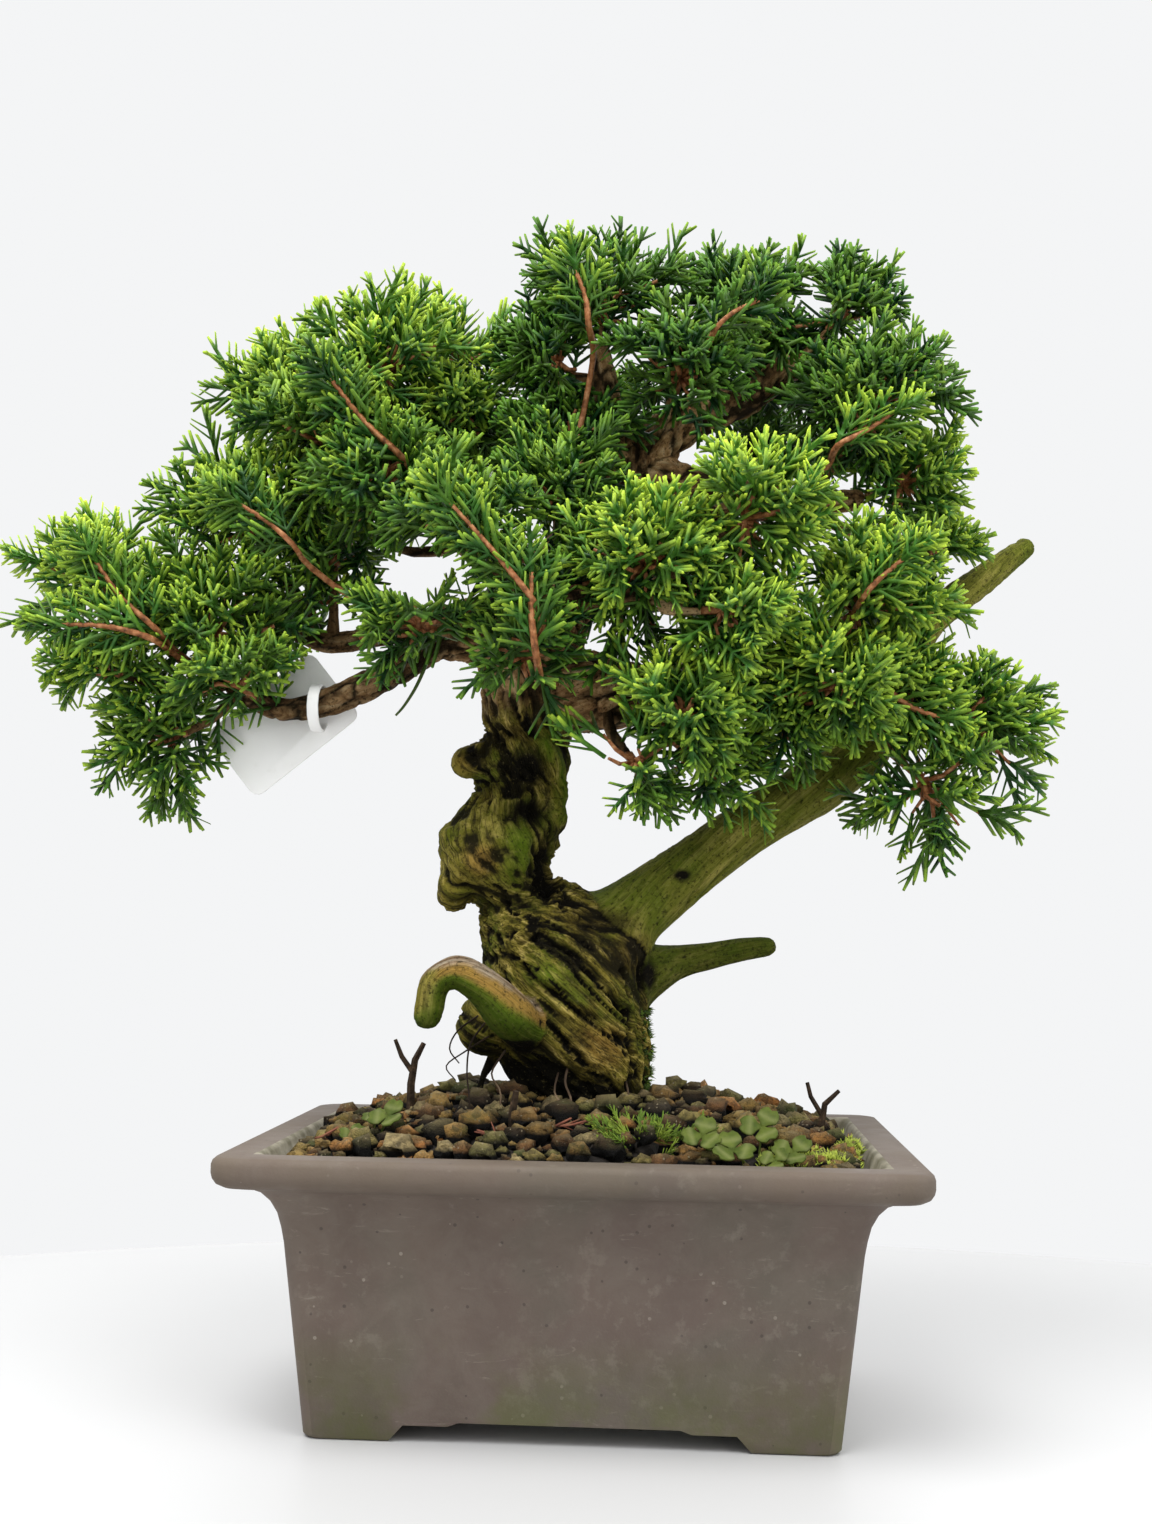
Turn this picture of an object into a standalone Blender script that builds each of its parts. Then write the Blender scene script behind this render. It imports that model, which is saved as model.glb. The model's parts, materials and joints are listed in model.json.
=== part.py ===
"""Chinese juniper bonsai in an unglazed rectangular pot, modelled at its real size.

Metres, +Z up. The front of the pot faces -Y. Sizes below are in millimetres and are turned into metres where a
mesh is made. The tree is laid out about the middle of the pot's foot, and at the end everything is moved so that
the origin is the middle of the whole object's footprint, on the surface that the pot stands on.
"""

import math
import random

import bmesh
import bpy
import numpy as np
from mathutils import Matrix, Vector

MM = 0.001
GAP = 0.35  # between pieces that touch on the real tree

# Pot, across the rim, over the feet, and through the wall
RIM_WIDTH = 190.0
RIM_DEPTH = 140.0
POT_HEIGHT = 76.5
RIM_CORNER = 6.5
BODY_CORNER = 4.0
FOOT_INSET = 22.3
WALL = 5.5
FLOOR_TOP = 12.0
FOOT_HEIGHT = 5.5
FOOT_STEP = 4.4
FOOT_ALONG_FRONT = 24.0
FOOT_ALONG_SIDE = 19.0
FOOT_THICK = 9.0
DRAIN_X = 34.0
DRAIN_RADIUS = 7.0
SCREEN_SIDE = 21.0
SCREEN_THICK = 1.0

# Soil, which lies just under the rim at the wall and is mounded round the trunk
SOIL_EDGE = 72.5
SOIL_MOUND = 15.5
SOIL_INSET = 15.1
SOIL_CELLS = (18, 13)
SOIL_ROUGH = 1.9
SOIL_GRAINS = 14
GRAIN_RADIUS = (2.8, 4.4)
HOLE_BOTTOM = 58.0
SMALL_HOLE_DEPTH = 9.0

# Foliage: each shoot is a cord of scale leaves, about as thick as a match
SHOOT_RADIUS = 0.85
SHOOT_LENGTH = (10.0, 15.0)
HUB_RADIUS = 2.8
BUD_LENGTH = 2.2
TWIG_RADIUS = 1.9
TWIGS_PER_CLOUD = 5
SHOOTS_PER_TWIG = 3
SHOOTS_BEHIND = 2
BEHIND = 12.0
DRAWN_IN = 5.0
SHOOT_SLOTS = 6
CLEARANCE = 0.45

# Tag, a blank plate of white plastic behind the lowest left bough, on a strap that goes round the bough
TAG_LONG = 40.6
TAG_WIDE = 25.6
TAG_THICK = 0.8
TAG_MIDDLE = (-92.5, -11.1, 198.2)
TAG_SLOPE = 39.0
STRAP_WIDE = 3.4
STRAP_THICK = 0.8
STRAP_MIDDLE = (-80.5, -17.5, 202.5)
STRAP_HALF = (7.3, 6.4)
STRAP_STEPS = 14


def material(name, colour, roughness, metallic=0.0):
    """A plain Principled material in the colour of the real piece."""
    made = bpy.data.materials.new(name)
    made.use_nodes = True
    shader = made.node_tree.nodes["Principled BSDF"]
    shader.inputs["Base Color"].default_value = (*colour, 1.0)
    shader.inputs["Roughness"].default_value = roughness
    shader.inputs["Metallic"].default_value = metallic
    made.diffuse_color = (*colour, 1.0)
    return made


def object_from(name, points, faces, look=None):
    """A mesh object from points in millimetres, linked to the scene, with its normals facing out."""
    mesh = bpy.data.meshes.new(name)
    mesh.from_pydata([Vector(p) * MM for p in points], [], faces)
    shape = bmesh.new()
    shape.from_mesh(mesh)
    bmesh.ops.recalc_face_normals(shape, faces=shape.faces)
    shape.to_mesh(mesh)
    shape.free()
    made = bpy.data.objects.new(name, mesh)
    bpy.context.scene.collection.objects.link(made)
    if look is not None:
        mesh.materials.append(look)
    return made


def loft(name, rings, look=None):
    """A closed shape through rings of equally many points, with a flat face at each end."""
    count = len(rings[0])
    points = [p for ring in rings for p in ring]
    faces = []
    for r in range(len(rings) - 1):
        for i in range(count):
            j = (i + 1) % count
            faces.append((r * count + i, r * count + j, (r + 1) * count + j, (r + 1) * count + i))
    faces.append(tuple(range(count)))
    faces.append(tuple((len(rings) - 1) * count + i for i in range(count)))
    return object_from(name, points, faces, look)


def rounded_rectangle(half_x, half_y, corner, z, steps=3):
    """One ring of points round a rectangle with arcs at its corners."""
    ring = []
    for side_x, side_y, start in ((1, 1, 0), (-1, 1, 90), (-1, -1, 180), (1, -1, 270)):
        for step in range(steps + 1):
            angle = math.radians(start + 90.0 * step / steps)
            ring.append((
                side_x * (half_x - corner) + corner * math.cos(angle),
                side_y * (half_y - corner) + corner * math.sin(angle),
                z,
            ))
    return ring


def square_block(name, x, y, half, low, high):
    """An upright square block about (x, y)."""
    ring = [(x - half, y - half), (x + half, y - half), (x + half, y + half), (x - half, y + half)]
    return loft(name, [[(a, b, z) for a, b in ring] for z in (low, high)])


def apply_boolean(target, operation, cutter=None, group=None):
    """Joins or cuts with one object or a whole collection, applies the result and removes what was used."""
    modifier = target.modifiers.new(operation.lower(), "BOOLEAN")
    modifier.operation = operation
    modifier.solver = "MANIFOLD"
    if group is not None:
        modifier.operand_type = "COLLECTION"
        modifier.collection = group
    else:
        modifier.object = cutter
    bpy.context.view_layer.update()
    graph = bpy.context.evaluated_depsgraph_get()
    result = bpy.data.meshes.new_from_object(target.evaluated_get(graph))
    target.modifiers.remove(modifier)
    old = target.data
    target.data = result
    result.name = target.name
    bpy.data.meshes.remove(old)
    used = list(group.objects) if group is not None else [cutter]
    for piece in used:
        bpy.data.objects.remove(piece)
    if group is not None:
        bpy.data.collections.remove(group)


def fuse(name, pieces, look):
    """Joins closed pieces that are sunk into each other into one body."""
    body, rest = pieces[0], pieces[1:]
    body.name = name
    if rest:
        group = bpy.data.collections.new(name + "_pieces")
        bpy.context.scene.collection.children.link(group)
        for piece in rest:
            bpy.context.scene.collection.objects.unlink(piece)
            group.objects.link(piece)
        apply_boolean(body, "UNION", group=group)
    body.data.materials.clear()
    body.data.materials.append(look)
    return body


def shade_round(piece):
    """Shades a round piece smooth."""
    for face in piece.data.polygons:
        face.use_smooth = True
    return piece


def frames_along(path):
    """Two directions across the path at each point, carried along it without twisting."""
    centres = [Vector(p[:3]) for p in path]
    side = None
    found = []
    for i, centre in enumerate(centres):
        before = centres[max(0, i - 1)]
        after = centres[min(len(centres) - 1, i + 1)]
        along = (after - before).normalized()
        if side is None:
            side = along.orthogonal().normalized()
        side = (side - along * side.dot(along)).normalized()
        found.append((centre, along, side, along.cross(side)))
    return found


def limb(name, path, sides, flutes=0.0, lobes=3, twist=0.0, cap=0.0):
    """A tapering stem along (x, y, z, radius) points. Flutes are muscles that wind round it, cap rounds its end."""
    rings = []
    travelled = 0.0
    frames = frames_along(path)
    for i, (centre, along, side, across) in enumerate(frames):
        if i:
            travelled += (centre - frames[i - 1][0]).length
        ring = []
        for k in range(sides):
            angle = 2 * math.pi * k / sides
            wave = math.cos(lobes * angle + twist * travelled) + 0.5 * math.cos((lobes + 2) * angle - travelled * 0.11)
            radius = path[i][3] * (1.0 + flutes * wave)
            ring.append(tuple(centre + (side * math.cos(angle) + across * math.sin(angle)) * radius))
        rings.append(ring)
    if cap:
        centre, along, side, across = frames[-1]
        for share, ahead in ((0.72, 0.45), (0.3, 0.7)):
            middle = centre + along * path[-1][3] * cap * ahead
            rings.append([tuple(middle + (Vector(p) - centre) * share) for p in rings[len(frames) - 1]])
    return loft(name, rings)


def knot(name, centre, radii, seed, level=2):
    """A burl: a lumpy ball, sunk into the wood."""
    draw = random.Random(seed)
    shape = bmesh.new()
    bmesh.ops.create_icosphere(shape, subdivisions=level, radius=1.0)
    for vertex in shape.verts:
        scale = 1.0 + draw.uniform(-0.09, 0.09)
        vertex.co = Vector(centre) + Vector(v * r * scale for v, r in zip(vertex.co, radii))
    points = [tuple(v.co) for v in shape.verts]
    faces = [tuple(v.index for v in f.verts) for f in shape.faces]
    shape.free()
    return object_from(name, points, faces)


# The trunk, from just over the soil to the top of the crown: x, y, z and radius
TRUNK = [
    (0, 0, 94, 19.2), (-2, 0, 100, 21.6), (-5, 0, 107, 23.6), (-7, 0, 121, 24.2), (-11, -1, 131, 21.0),
    (-16, -2, 139, 16.0), (-20.5, -4, 147, 12.0), (-23.5, -5, 157, 13.6), (-23, -5, 168, 14.8), (-21, -3, 177, 13.2),
    (-20, -1, 188, 14.2), (-19, -1, 197, 12.6), (-18, -1, 207, 15.2), (-17, 2, 222, 14.6), (-11, 7, 241, 13.0),
    (-4, 10, 256, 11.4), (5, 12, 274, 9.8), (16, 13, 290, 8.4), (33, 13, 301, 7.0), (50, 12, 308, 5.6),
    (62, 10, 318, 4.0),
]
# The root plug stands in a plain hole in the soil
ROOT_PLUG = [(0, 0, HOLE_BOTTOM, 16.0), (0, 0, 91, 19.0), (-1, 0, 99, 18.0)]

# Branches with bark, named for where they go. The first point of each is inside the limb that it grows from
BOUGHS = {
    "right": [(-14, -1, 210, 13.0), (2, -4, 209, 12.0), (14, -7, 209, 9.0), (34, -10, 211, 7.4),
              (58, -10, 212, 6.2), (79, -9, 207, 5.2), (96, -6, 196, 3.8)],
    "left_low": [(-20, -3, 219, 9.0), (-33, -6, 225, 7.8), (-46, -11, 224, 6.6), (-56, -15, 216, 5.6),
                 (-66, -18, 209, 4.9), (-78, -19, 204, 4.3), (-91, -18, 202, 3.7), (-104, -17, 207, 3.2),
                 (-112, -16, 215, 2.7)],
    "left_high": [(-14, 3, 234, 7.0), (-30, 2, 236, 6.0), (-47, 1, 232, 5.0), (-66, 0, 228, 4.0),
                  (-80, -2, 225, 3.3), (-92, -3, 228, 2.8)],
    "upper_left": [(-9, 6, 242, 8.5), (-28, 3, 252, 6.6), (-46, -1, 264, 5.4), (-58, -4, 278, 4.5),
                   (-63, -5, 294, 3.4)],
    "front": [(-15, -6, 217, 7.0), (-14, -19, 224, 5.2), (-9, -31, 231, 4.2), (8, -38, 232, 3.2),
              (26, -40, 232, 2.6)],
    "top": [(6, 12, 276, 7.5), (6, 6, 291, 5.6), (4, 1, 305, 4.6), (2, -3, 318, 3.4)],
    "right_high": [(12, 13, 284, 7.0), (36, 12, 278, 5.6), (62, 9, 272, 4.6), (82, 6, 272, 3.4)],
    "back": [(-9, 10, 244, 8.0), (-3, 24, 251, 6.2), (8, 38, 262, 5.0), (26, 46, 272, 4.0), (44, 50, 282, 3.0)],
    "back_left": [(-12, 9, 238, 7.0), (-26, 20, 250, 5.2), (-40, 30, 262, 4.2), (-52, 36, 272, 3.2)],
    "back_right": [(8, -6, 209, 8.0), (28, 12, 214, 5.6), (52, 28, 222, 4.6), (72, 38, 230, 3.4)],
}

# Deadwood, stripped of its bark
JINS = {
    "great": [(0, 0, 134, 12.5), (14, 2, 143, 10.8), (35, 2, 159, 8.8), (53, 5, 172, 8.6), (72, 11, 184, 9.0),
              (86, 17, 196, 7.6), (97, 25, 216, 6.4), (108, 33, 238, 5.8), (127, 40, 254, 5.0), (142, 46, 266, 3.6)],
    "short": [(10, 4, 120, 10.0), (20, 5, 125, 7.6), (28, 7, 128, 5.4), (40, 8, 130.5, 4.2), (48, 8, 132, 3.8),
              (55, 8, 133, 3.2)],
    "hook": [(-13, -8, 108, 7.0), (-17, -22, 110, 7.0), (-20, -31, 114, 6.8), (-26, -35.5, 121, 6.2),
             (-34, -37, 125.5, 5.6), (-40, -36.5, 122, 4.8), (-42.5, -35.5, 113, 4.2)],
}

# Burls and the stump of an old root: centre, radii
KNOTS = [
    ((-28, -9, 109), (9.5, 8.5, 9.0)), ((-29, -10, 162), (14.5, 12.5, 13.5)), ((-39, -10, 149), (4.8, 5.0, 6.2)),
    ((-33, -5, 188), (6.5, 6.0, 5.0)), ((-8, -4, 214), (13.0, 11.0, 9.0)), ((9, -3, 133), (10.5, 12.0, 9.5)),
    ((-2, 6, 135), (12.0, 10.0, 5.5)), ((85, 14, 196), (8.5, 8.0, 8.5)), ((4, 11, 262), (10.0, 9.0, 9.0)),
]

# Clouds of foliage: middle, half sizes, and the bough that carries the cloud
CLOUDS = {
    "left_tip_high": ((-153, -20, 243), (26, 20, 18), "left_low"),
    "left_tip_low": ((-149, -31, 214), (23, 14, 12), "left_low"),
    "left_drop": ((-132, -15, 191), (21, 18, 19), "left_low"),
    "left_heart": ((-114, -23, 234), (23, 20, 20), "left_low"),
    "left_apron": ((-106, -33, 211), (23, 13, 10), "left_low"),
    "left_inner": ((-88, 2, 238), (20, 18, 16), "left_high"),
    "shoulder_left": ((-110, -11, 270), (25, 18, 18), "left_high"),
    "shoulder_top": ((-90, -24, 288), (27, 19, 19), "upper_left"),
    "shoulder_back": ((-105, 13, 314), (20, 16, 17), "upper_left"),
    "crest_left": ((-64, -12, 315), (28, 22, 22), "upper_left"),
    "brow_left": ((-61, -38, 270), (25, 16, 15), "upper_left"),
    "crest_back": ((-44, 23, 330), (16, 15, 17), "upper_left"),
    "waist_left": ((-80, -2, 256), (21, 15, 12), "left_high"),
    "brow_inner": ((-47, 4, 298), (19, 17, 17), "upper_left"),
    "front_left": ((-35, -50, 255), (27, 18, 15), "front"),
    "front_low": ((-52, -39, 225), (18, 15, 14), "front"),
    "front_skirt": ((-17, -43, 216), (20, 13, 17), "front"),
    "heart": ((-7, -6, 291), (24, 17, 18), "top"),
    "apex": ((2, -6, 338), (31, 22, 23), "top"),
    "apex_right": ((48, 15, 344), (21, 16, 19), "trunk"),
    "crest_right": ((84, 11, 341), (23, 18, 19), "trunk"),
    "apex_front": ((30, -24, 309), (26, 17, 16), "trunk"),
    "cheek_right": ((92, -6, 308), (25, 18, 17), "right_high"),
    "crown_back": ((66, 28, 324), (20, 16, 16), "trunk"),
    "front_middle": ((21, -49, 246), (24, 18, 17), "front"),
    "front_right": ((54, -48, 259), (26, 18, 15), "front"),
    "front_breast": ((47, -50, 227), (24, 17, 15), "front"),
    "right_breast": ((86, -22, 242), (23, 20, 22), "right"),
    "right_high": ((104, 5, 281), (24, 18, 18), "right_high"),
    "right_back": ((114, 31, 262), (19, 14, 13), "right_high"),
    "skirt_middle": ((31, -48, 198), (20, 16, 16), "right"),
    "skirt_low": ((36, -20, 184), (30, 17, 10), "right"),
    "right_tip": ((121, -4, 204), (29, 18, 18), "right"),
    "right_drop": ((106, -10, 178), (28, 16, 18), "right"),
    "right_inner": ((76, -33, 209), (19, 16, 15), "right"),
    "apex_left": ((-16, -2, 320), (17, 15, 16), "top"),
    "heart_front": ((-9, -26, 271), (19, 14, 16), "trunk"),
    "breast_left": ((2, -34, 237), (17, 12, 13), "front"),
    "shoulder_right": ((82, -4, 291), (18, 15, 15), "right_high"),
    "skirt_right": ((62, -20, 197), (18, 14, 14), "right"),
    "waist_right": ((98, -14, 214), (14, 12, 13), "right"),
    "skirt_left": ((17, -42, 183), (19, 14, 14), "right"),
    "back_shoulder": ((-60, 52, 290), (27, 22, 20), "back_left"),
    "back_crown": ((-2, 56, 318), (29, 22, 20), "back"),
    "back_right_high": ((60, 62, 304), (29, 22, 21), "back"),
    "back_middle": ((-14, 56, 262), (25, 20, 16), "back"),
    "back_low": ((42, 62, 256), (27, 21, 18), "back"),
    "back_right_low": ((92, 60, 240), (23, 18, 18), "back_right"),
    "back_left_low": ((-92, 40, 272), (26, 19, 19), "back_left"),
}


# Holes in the soil for what stands in it: x, y, radius
CLOVER_RIGHT = (50, -47, 1.0)
CLOVER_LEFT = (-57, -34, 0.9)
TWIG_LEFT = (-51, -8, 1.4)
TWIG_RIGHT = (70, -12, 1.2)
TWIG_FRONT = (-18, -33, 1.3)
ROOT_LEFT = (-30, -11, 1.1)
SMALL_HOLES = [CLOVER_RIGHT, CLOVER_LEFT, TWIG_LEFT, TWIG_RIGHT, TWIG_FRONT, ROOT_LEFT]


def nearest_on(path, point):
    """The place on a limb from which a branch to the point grows: not its first fifth, and before the point."""
    low = max(1, len(path) // 4)
    centres = [Vector(p[:3]) for p in path[low:]]
    index = min(range(len(centres)), key=lambda i: (centres[i] - Vector(point)).length)
    index = max(0, index - 1)
    return centres[index], path[low + index][3]


def limb_of(bough):
    return TRUNK if bough == "trunk" else BOUGHS[bough]


class Occupied:
    """The space that pieces take, as round rods, so that a new shoot can be kept clear of what is there."""

    def __init__(self):
        self.rods = []
        self.owners = []

    def add(self, owner, start, end, radius):
        self.rods.append((*start, *end, radius))
        self.owners.append(owner)

    def add_path(self, owner, path):
        for a, b in zip(path[:-1], path[1:]):
            self.add(owner, a[:3], b[:3], max(a[3], b[3]))

    def is_clear(self, start, end, radius, leave_out=(), margin=CLEARANCE, first=0.0):
        """Whether a rod stays clear of every other, tested at points along it. Owners can be left out."""
        rods = np.array([r for r, o in zip(self.rods, self.owners) if o not in leave_out], float)
        if not len(rods):
            return True
        a, b, r = rods[:, :3], rods[:, 3:6], rods[:, 6]
        d = b - a
        size = np.maximum((d * d).sum(1), 1e-9)
        for share in np.linspace(first, 1.0, 8):
            p = np.array(start, float) * (1 - share) + np.array(end, float) * share
            t = np.clip(((p - a) * d).sum(1) / size, 0.0, 1.0)
            distance = np.linalg.norm(a + d * t[:, None] - p, axis=1)
            if (distance < r + radius + margin).any():
                return False
        return True


def rod(name, start, end, start_radius, end_radius, sides=3, turn=0.0):
    """A straight tapering rod."""
    along = (Vector(end) - Vector(start)).normalized()
    side = along.orthogonal().normalized()
    across = along.cross(side)
    rings = []
    for centre, radius in ((start, start_radius), (end, end_radius)):
        angles = [turn + 2 * math.pi * k / sides for k in range(sides)]
        rings.append([tuple(Vector(centre) + (side * math.cos(a) + across * math.sin(a)) * radius) for a in angles])
    return loft(name, rings)


def spread_directions(axis, count, widest):
    """Directions spread evenly over the part of a ball that lies within an angle of the axis."""
    axis = axis.normalized()
    side = axis.orthogonal().normalized()
    across = axis.cross(side)
    golden = math.pi * (3 - math.sqrt(5))
    found = []
    for i in range(count):
        lean = math.acos(1 - (1 - math.cos(widest)) * (i + 0.5) / count)
        turn = golden * i + 0.4
        found.append(axis * math.cos(lean) + (side * math.cos(turn) + across * math.sin(turn)) * math.sin(lean))
    return found


class Growth:
    """A closed mesh that grows: a three-sided face is drawn out into a prism, and its sides can be drawn out too."""

    def __init__(self, centre, radius):
        shape = bmesh.new()
        bmesh.ops.create_icosphere(shape, subdivisions=1, radius=radius)
        self.points = [v.co + Vector(centre) for v in shape.verts]
        self.faces = [tuple(v.index for v in f.verts) for f in shape.faces]
        self.free = list(range(len(self.faces)))
        shape.free()

    def middle(self, face):
        return sum((self.points[i] for i in self.faces[face]), Vector()) / 3

    def facing(self, face):
        a, b, c = (self.points[i] for i in self.faces[face])
        return (b - a).cross(c - a).normalized()

    def towards(self, direction):
        """The free face of the starting ball that looks most nearly in a direction."""
        best = max(self.free, key=lambda f: self.facing(f).dot(direction))
        self.free.remove(best)
        return best

    def draw_out(self, face, centre, radius, along):
        """Draws a face out to an even triangle, and returns the three quads along its sides."""
        old = self.faces[face]
        from_middle = self.middle(face)
        first = self.points[old[0]] - from_middle
        first = (first - along * first.dot(along)).normalized()
        if first.length < 0.5:
            first = along.orthogonal().normalized()
        across = along.cross(first)
        new = []
        for k in range(3):
            angle = 2 * math.pi * k / 3
            new.append(len(self.points))
            self.points.append(centre + (first * math.cos(angle) + across * math.sin(angle)) * radius)
        self.faces[face] = tuple(new)
        sides = []
        for k in range(3):
            n = (k + 1) % 3
            sides.append(len(self.faces))
            self.faces.append((old[k], old[n], new[n], new[k]))
        return sides

    def bud(self, quad):
        """Marks off a small triangle at the far end of a quad, for a shoot to grow from."""
        a, b, c, d = self.faces[quad]
        near = (self.points[a] + self.points[b]) / 2
        far = (self.points[c] + self.points[d]) / 2
        peak = len(self.points)
        self.points.append(far + (near - far).normalized() * BUD_LENGTH)
        self.faces[quad] = (c, d, peak)
        self.faces += [(a, b, peak), (b, c, peak), (d, a, peak)]
        return quad


def foliage_cloud(name, middle, radii, stem, occupied, look):
    """One cloud: twigs that fan out from the end of its stem, with three-sided shoots standing out of them."""
    draw = random.Random(name)
    middle = Vector(middle)
    tip = Vector(stem[-1][:3])
    outward = (tip - Vector(stem[-2][:3])).normalized()
    hub = tip + outward * (GAP + HUB_RADIUS + 1.4)
    growth = Growth(hub, HUB_RADIUS)
    growth.draw_out(growth.towards(-outward), tip + outward * GAP, 1.0, -outward)
    occupied.add(name, hub, hub, HUB_RADIUS)
    own = {name, name + "_stem"} | {name + "_twig_%d" % k for k in range(TWIGS_PER_CLOUD)}
    heading = (middle - hub).normalized() if (middle - hub).length > 2.0 else outward
    middle = middle - heading * DRAWN_IN
    shoots_wanted = SHOOTS_BEHIND if middle.y > BEHIND else SHOOTS_PER_TWIG
    twigs = []
    used = set()
    for direction in spread_directions(heading, TWIGS_PER_CLOUD, math.radians(112)):
        target = middle + Vector(d * r * 0.68 for d, r in zip(direction, radii))
        for _ in range(6):
            if (target - hub).length < 7.0 or occupied.is_clear(hub, target, TWIG_RADIUS, own, first=0.15):
                break
            target = hub.lerp(target, 0.82)
        if (target - hub).length < 7.0:
            continue
        along = (target - hub).normalized()
        face = growth.towards(along)
        start = growth.middle(face)
        twig = name + "_twig_%d" % len(twigs)
        quads = []
        for share in (0.5, 1.0):
            quads.append(growth.draw_out(face, start.lerp(target, share), TWIG_RADIUS * (1 - 0.4 * share), along))
        occupied.add(twig, hub, target, TWIG_RADIUS)
        twigs.append((twig, along, face, target, quads))
    for number, (twig, along, face, target, quads) in enumerate(twigs):
        leave_out = {name, twig}
        length = draw.uniform(*SHOOT_LENGTH)
        while length > 4.0 and not occupied.is_clear(target, target + along * length, SHOOT_RADIUS, leave_out):
            length *= 0.8
        growth.draw_out(face, target + along * length, SHOOT_RADIUS, along)
        occupied.add(twig, target, target + along * length, SHOOT_RADIUS)
        made = 0
        for slot in range(SHOOT_SLOTS):
            ring, side = divmod(slot * 2 + number, 3)
            quad = quads[-1 - ring % len(quads)][side]
            if made == shoots_wanted or quad in used:
                continue
            a, b, c, d = (growth.points[i] for i in growth.faces[quad])
            foot = c.lerp(d, 0.5)
            out = (b - a).cross(c - a).normalized()
            lean = (out + along * 1.1 + Vector((0, 0, 0.12))).normalized()
            length = draw.uniform(*SHOOT_LENGTH)
            while length > 5.0:
                end = foot + lean * length
                if occupied.is_clear(foot + lean * 0.8, end, SHOOT_RADIUS, leave_out):
                    break
                length *= 0.85
            if length <= 5.0:
                continue
            used.add(quad)
            growth.draw_out(growth.bud(quad), end, SHOOT_RADIUS, lean)
            occupied.add(twig, foot, end, SHOOT_RADIUS)
            made += 1
    return object_from(name, growth.points, growth.faces, look)


def build_pot(look):
    """Slip-cast stoneware: a tapered box with a lipped rim and four cut-out feet."""
    half_x, half_y = RIM_WIDTH / 2, RIM_DEPTH / 2
    outside = [
        (FOOT_INSET + 0.7, 0.0, BODY_CORNER - 0.7), (FOOT_INSET, 0.8, BODY_CORNER), (16.6, 52.0, BODY_CORNER),
        (15.0, 59.0, BODY_CORNER), (12.8, 64.0, 4.4), (9.6, 67.2, 5.0), (3.4, 68.2, 6.0), (0.9, 69.8, RIM_CORNER),
        (0.0, 72.0, RIM_CORNER), (0.0, 75.0, RIM_CORNER), (1.2, POT_HEIGHT, RIM_CORNER - 0.8),
    ]
    inside = [
        (10.8, POT_HEIGHT, 3.4), (11.6, 75.6, 3.0), (14.6, 68.0, 3.0), (16.6 + WALL, 56.0, 3.0),
        (FOOT_INSET - 1.2 + WALL, FLOOR_TOP, 2.6),
    ]
    rings = [rounded_rectangle(half_x - inset, half_y - inset, corner, z) for inset, z, corner in outside + inside]
    pot = loft("pot", rings, look)
    foot_x, foot_y = half_x - FOOT_INSET, half_y - FOOT_INSET

    def apron(foot_edge, reach, along_x):
        """A cutter with the stepped outline between two feet, long enough to pass right through."""
        inner = foot_edge - 4.0
        line = [(-foot_edge - 1.5, -1.0), (-foot_edge, 0.0), (-inner, FOOT_STEP), (-inner + 12, FOOT_STEP),
                (-inner + 15, FOOT_HEIGHT), (inner - 15, FOOT_HEIGHT), (inner - 12, FOOT_STEP), (inner, FOOT_STEP),
                (foot_edge, 0.0), (foot_edge + 1.5, -1.0)]
        rings = [[(u, side * reach, z) if along_x else (side * reach, u, z) for u, z in line] for side in (-1, 1)]
        return loft("apron_cutter", rings)

    for cutter in (
        apron(foot_x - FOOT_ALONG_FRONT, half_y, True),
        apron(foot_y - FOOT_ALONG_SIDE, half_x, False),
        loft("pocket_cutter", [
            rounded_rectangle(foot_x - FOOT_THICK, foot_y - FOOT_THICK, 3.0, z, 1) for z in (-1.0, FOOT_HEIGHT)
        ]),
        *(rod("drain_cutter", (x, 0, FOOT_HEIGHT - 3), (x, 0, FLOOR_TOP + 3), DRAIN_RADIUS, DRAIN_RADIUS, sides=12)
          for x in (-DRAIN_X, DRAIN_X)),
    ):
        apply_boolean(pot, "DIFFERENCE", cutter)
    return pot


def build_screen(name, x, look):
    """A square of plastic net that keeps the soil in over a drain hole."""
    bottom = FLOOR_TOP + GAP
    screen = square_block(name, x, 0, SCREEN_SIDE / 2, bottom, bottom + SCREEN_THICK)
    screen.data.materials.append(look)
    for i in (-1, 1):
        for j in (-1, 1):
            hole = square_block("mesh_cutter", x + i * 4.6, j * 4.6, 3.4, bottom - 1, bottom + 3)
            apply_boolean(screen, "DIFFERENCE", hole)
    return screen


def soil_height(x, y):
    """The lie of the soil: level at the wall, mounded towards the trunk."""
    across = max(0.0, 1 - (x / 80.0) ** 2)
    deep = max(0.0, 1 - (y / 56.0) ** 2)
    return SOIL_EDGE + SOIL_MOUND * across**0.8 * deep**1.1


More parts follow.
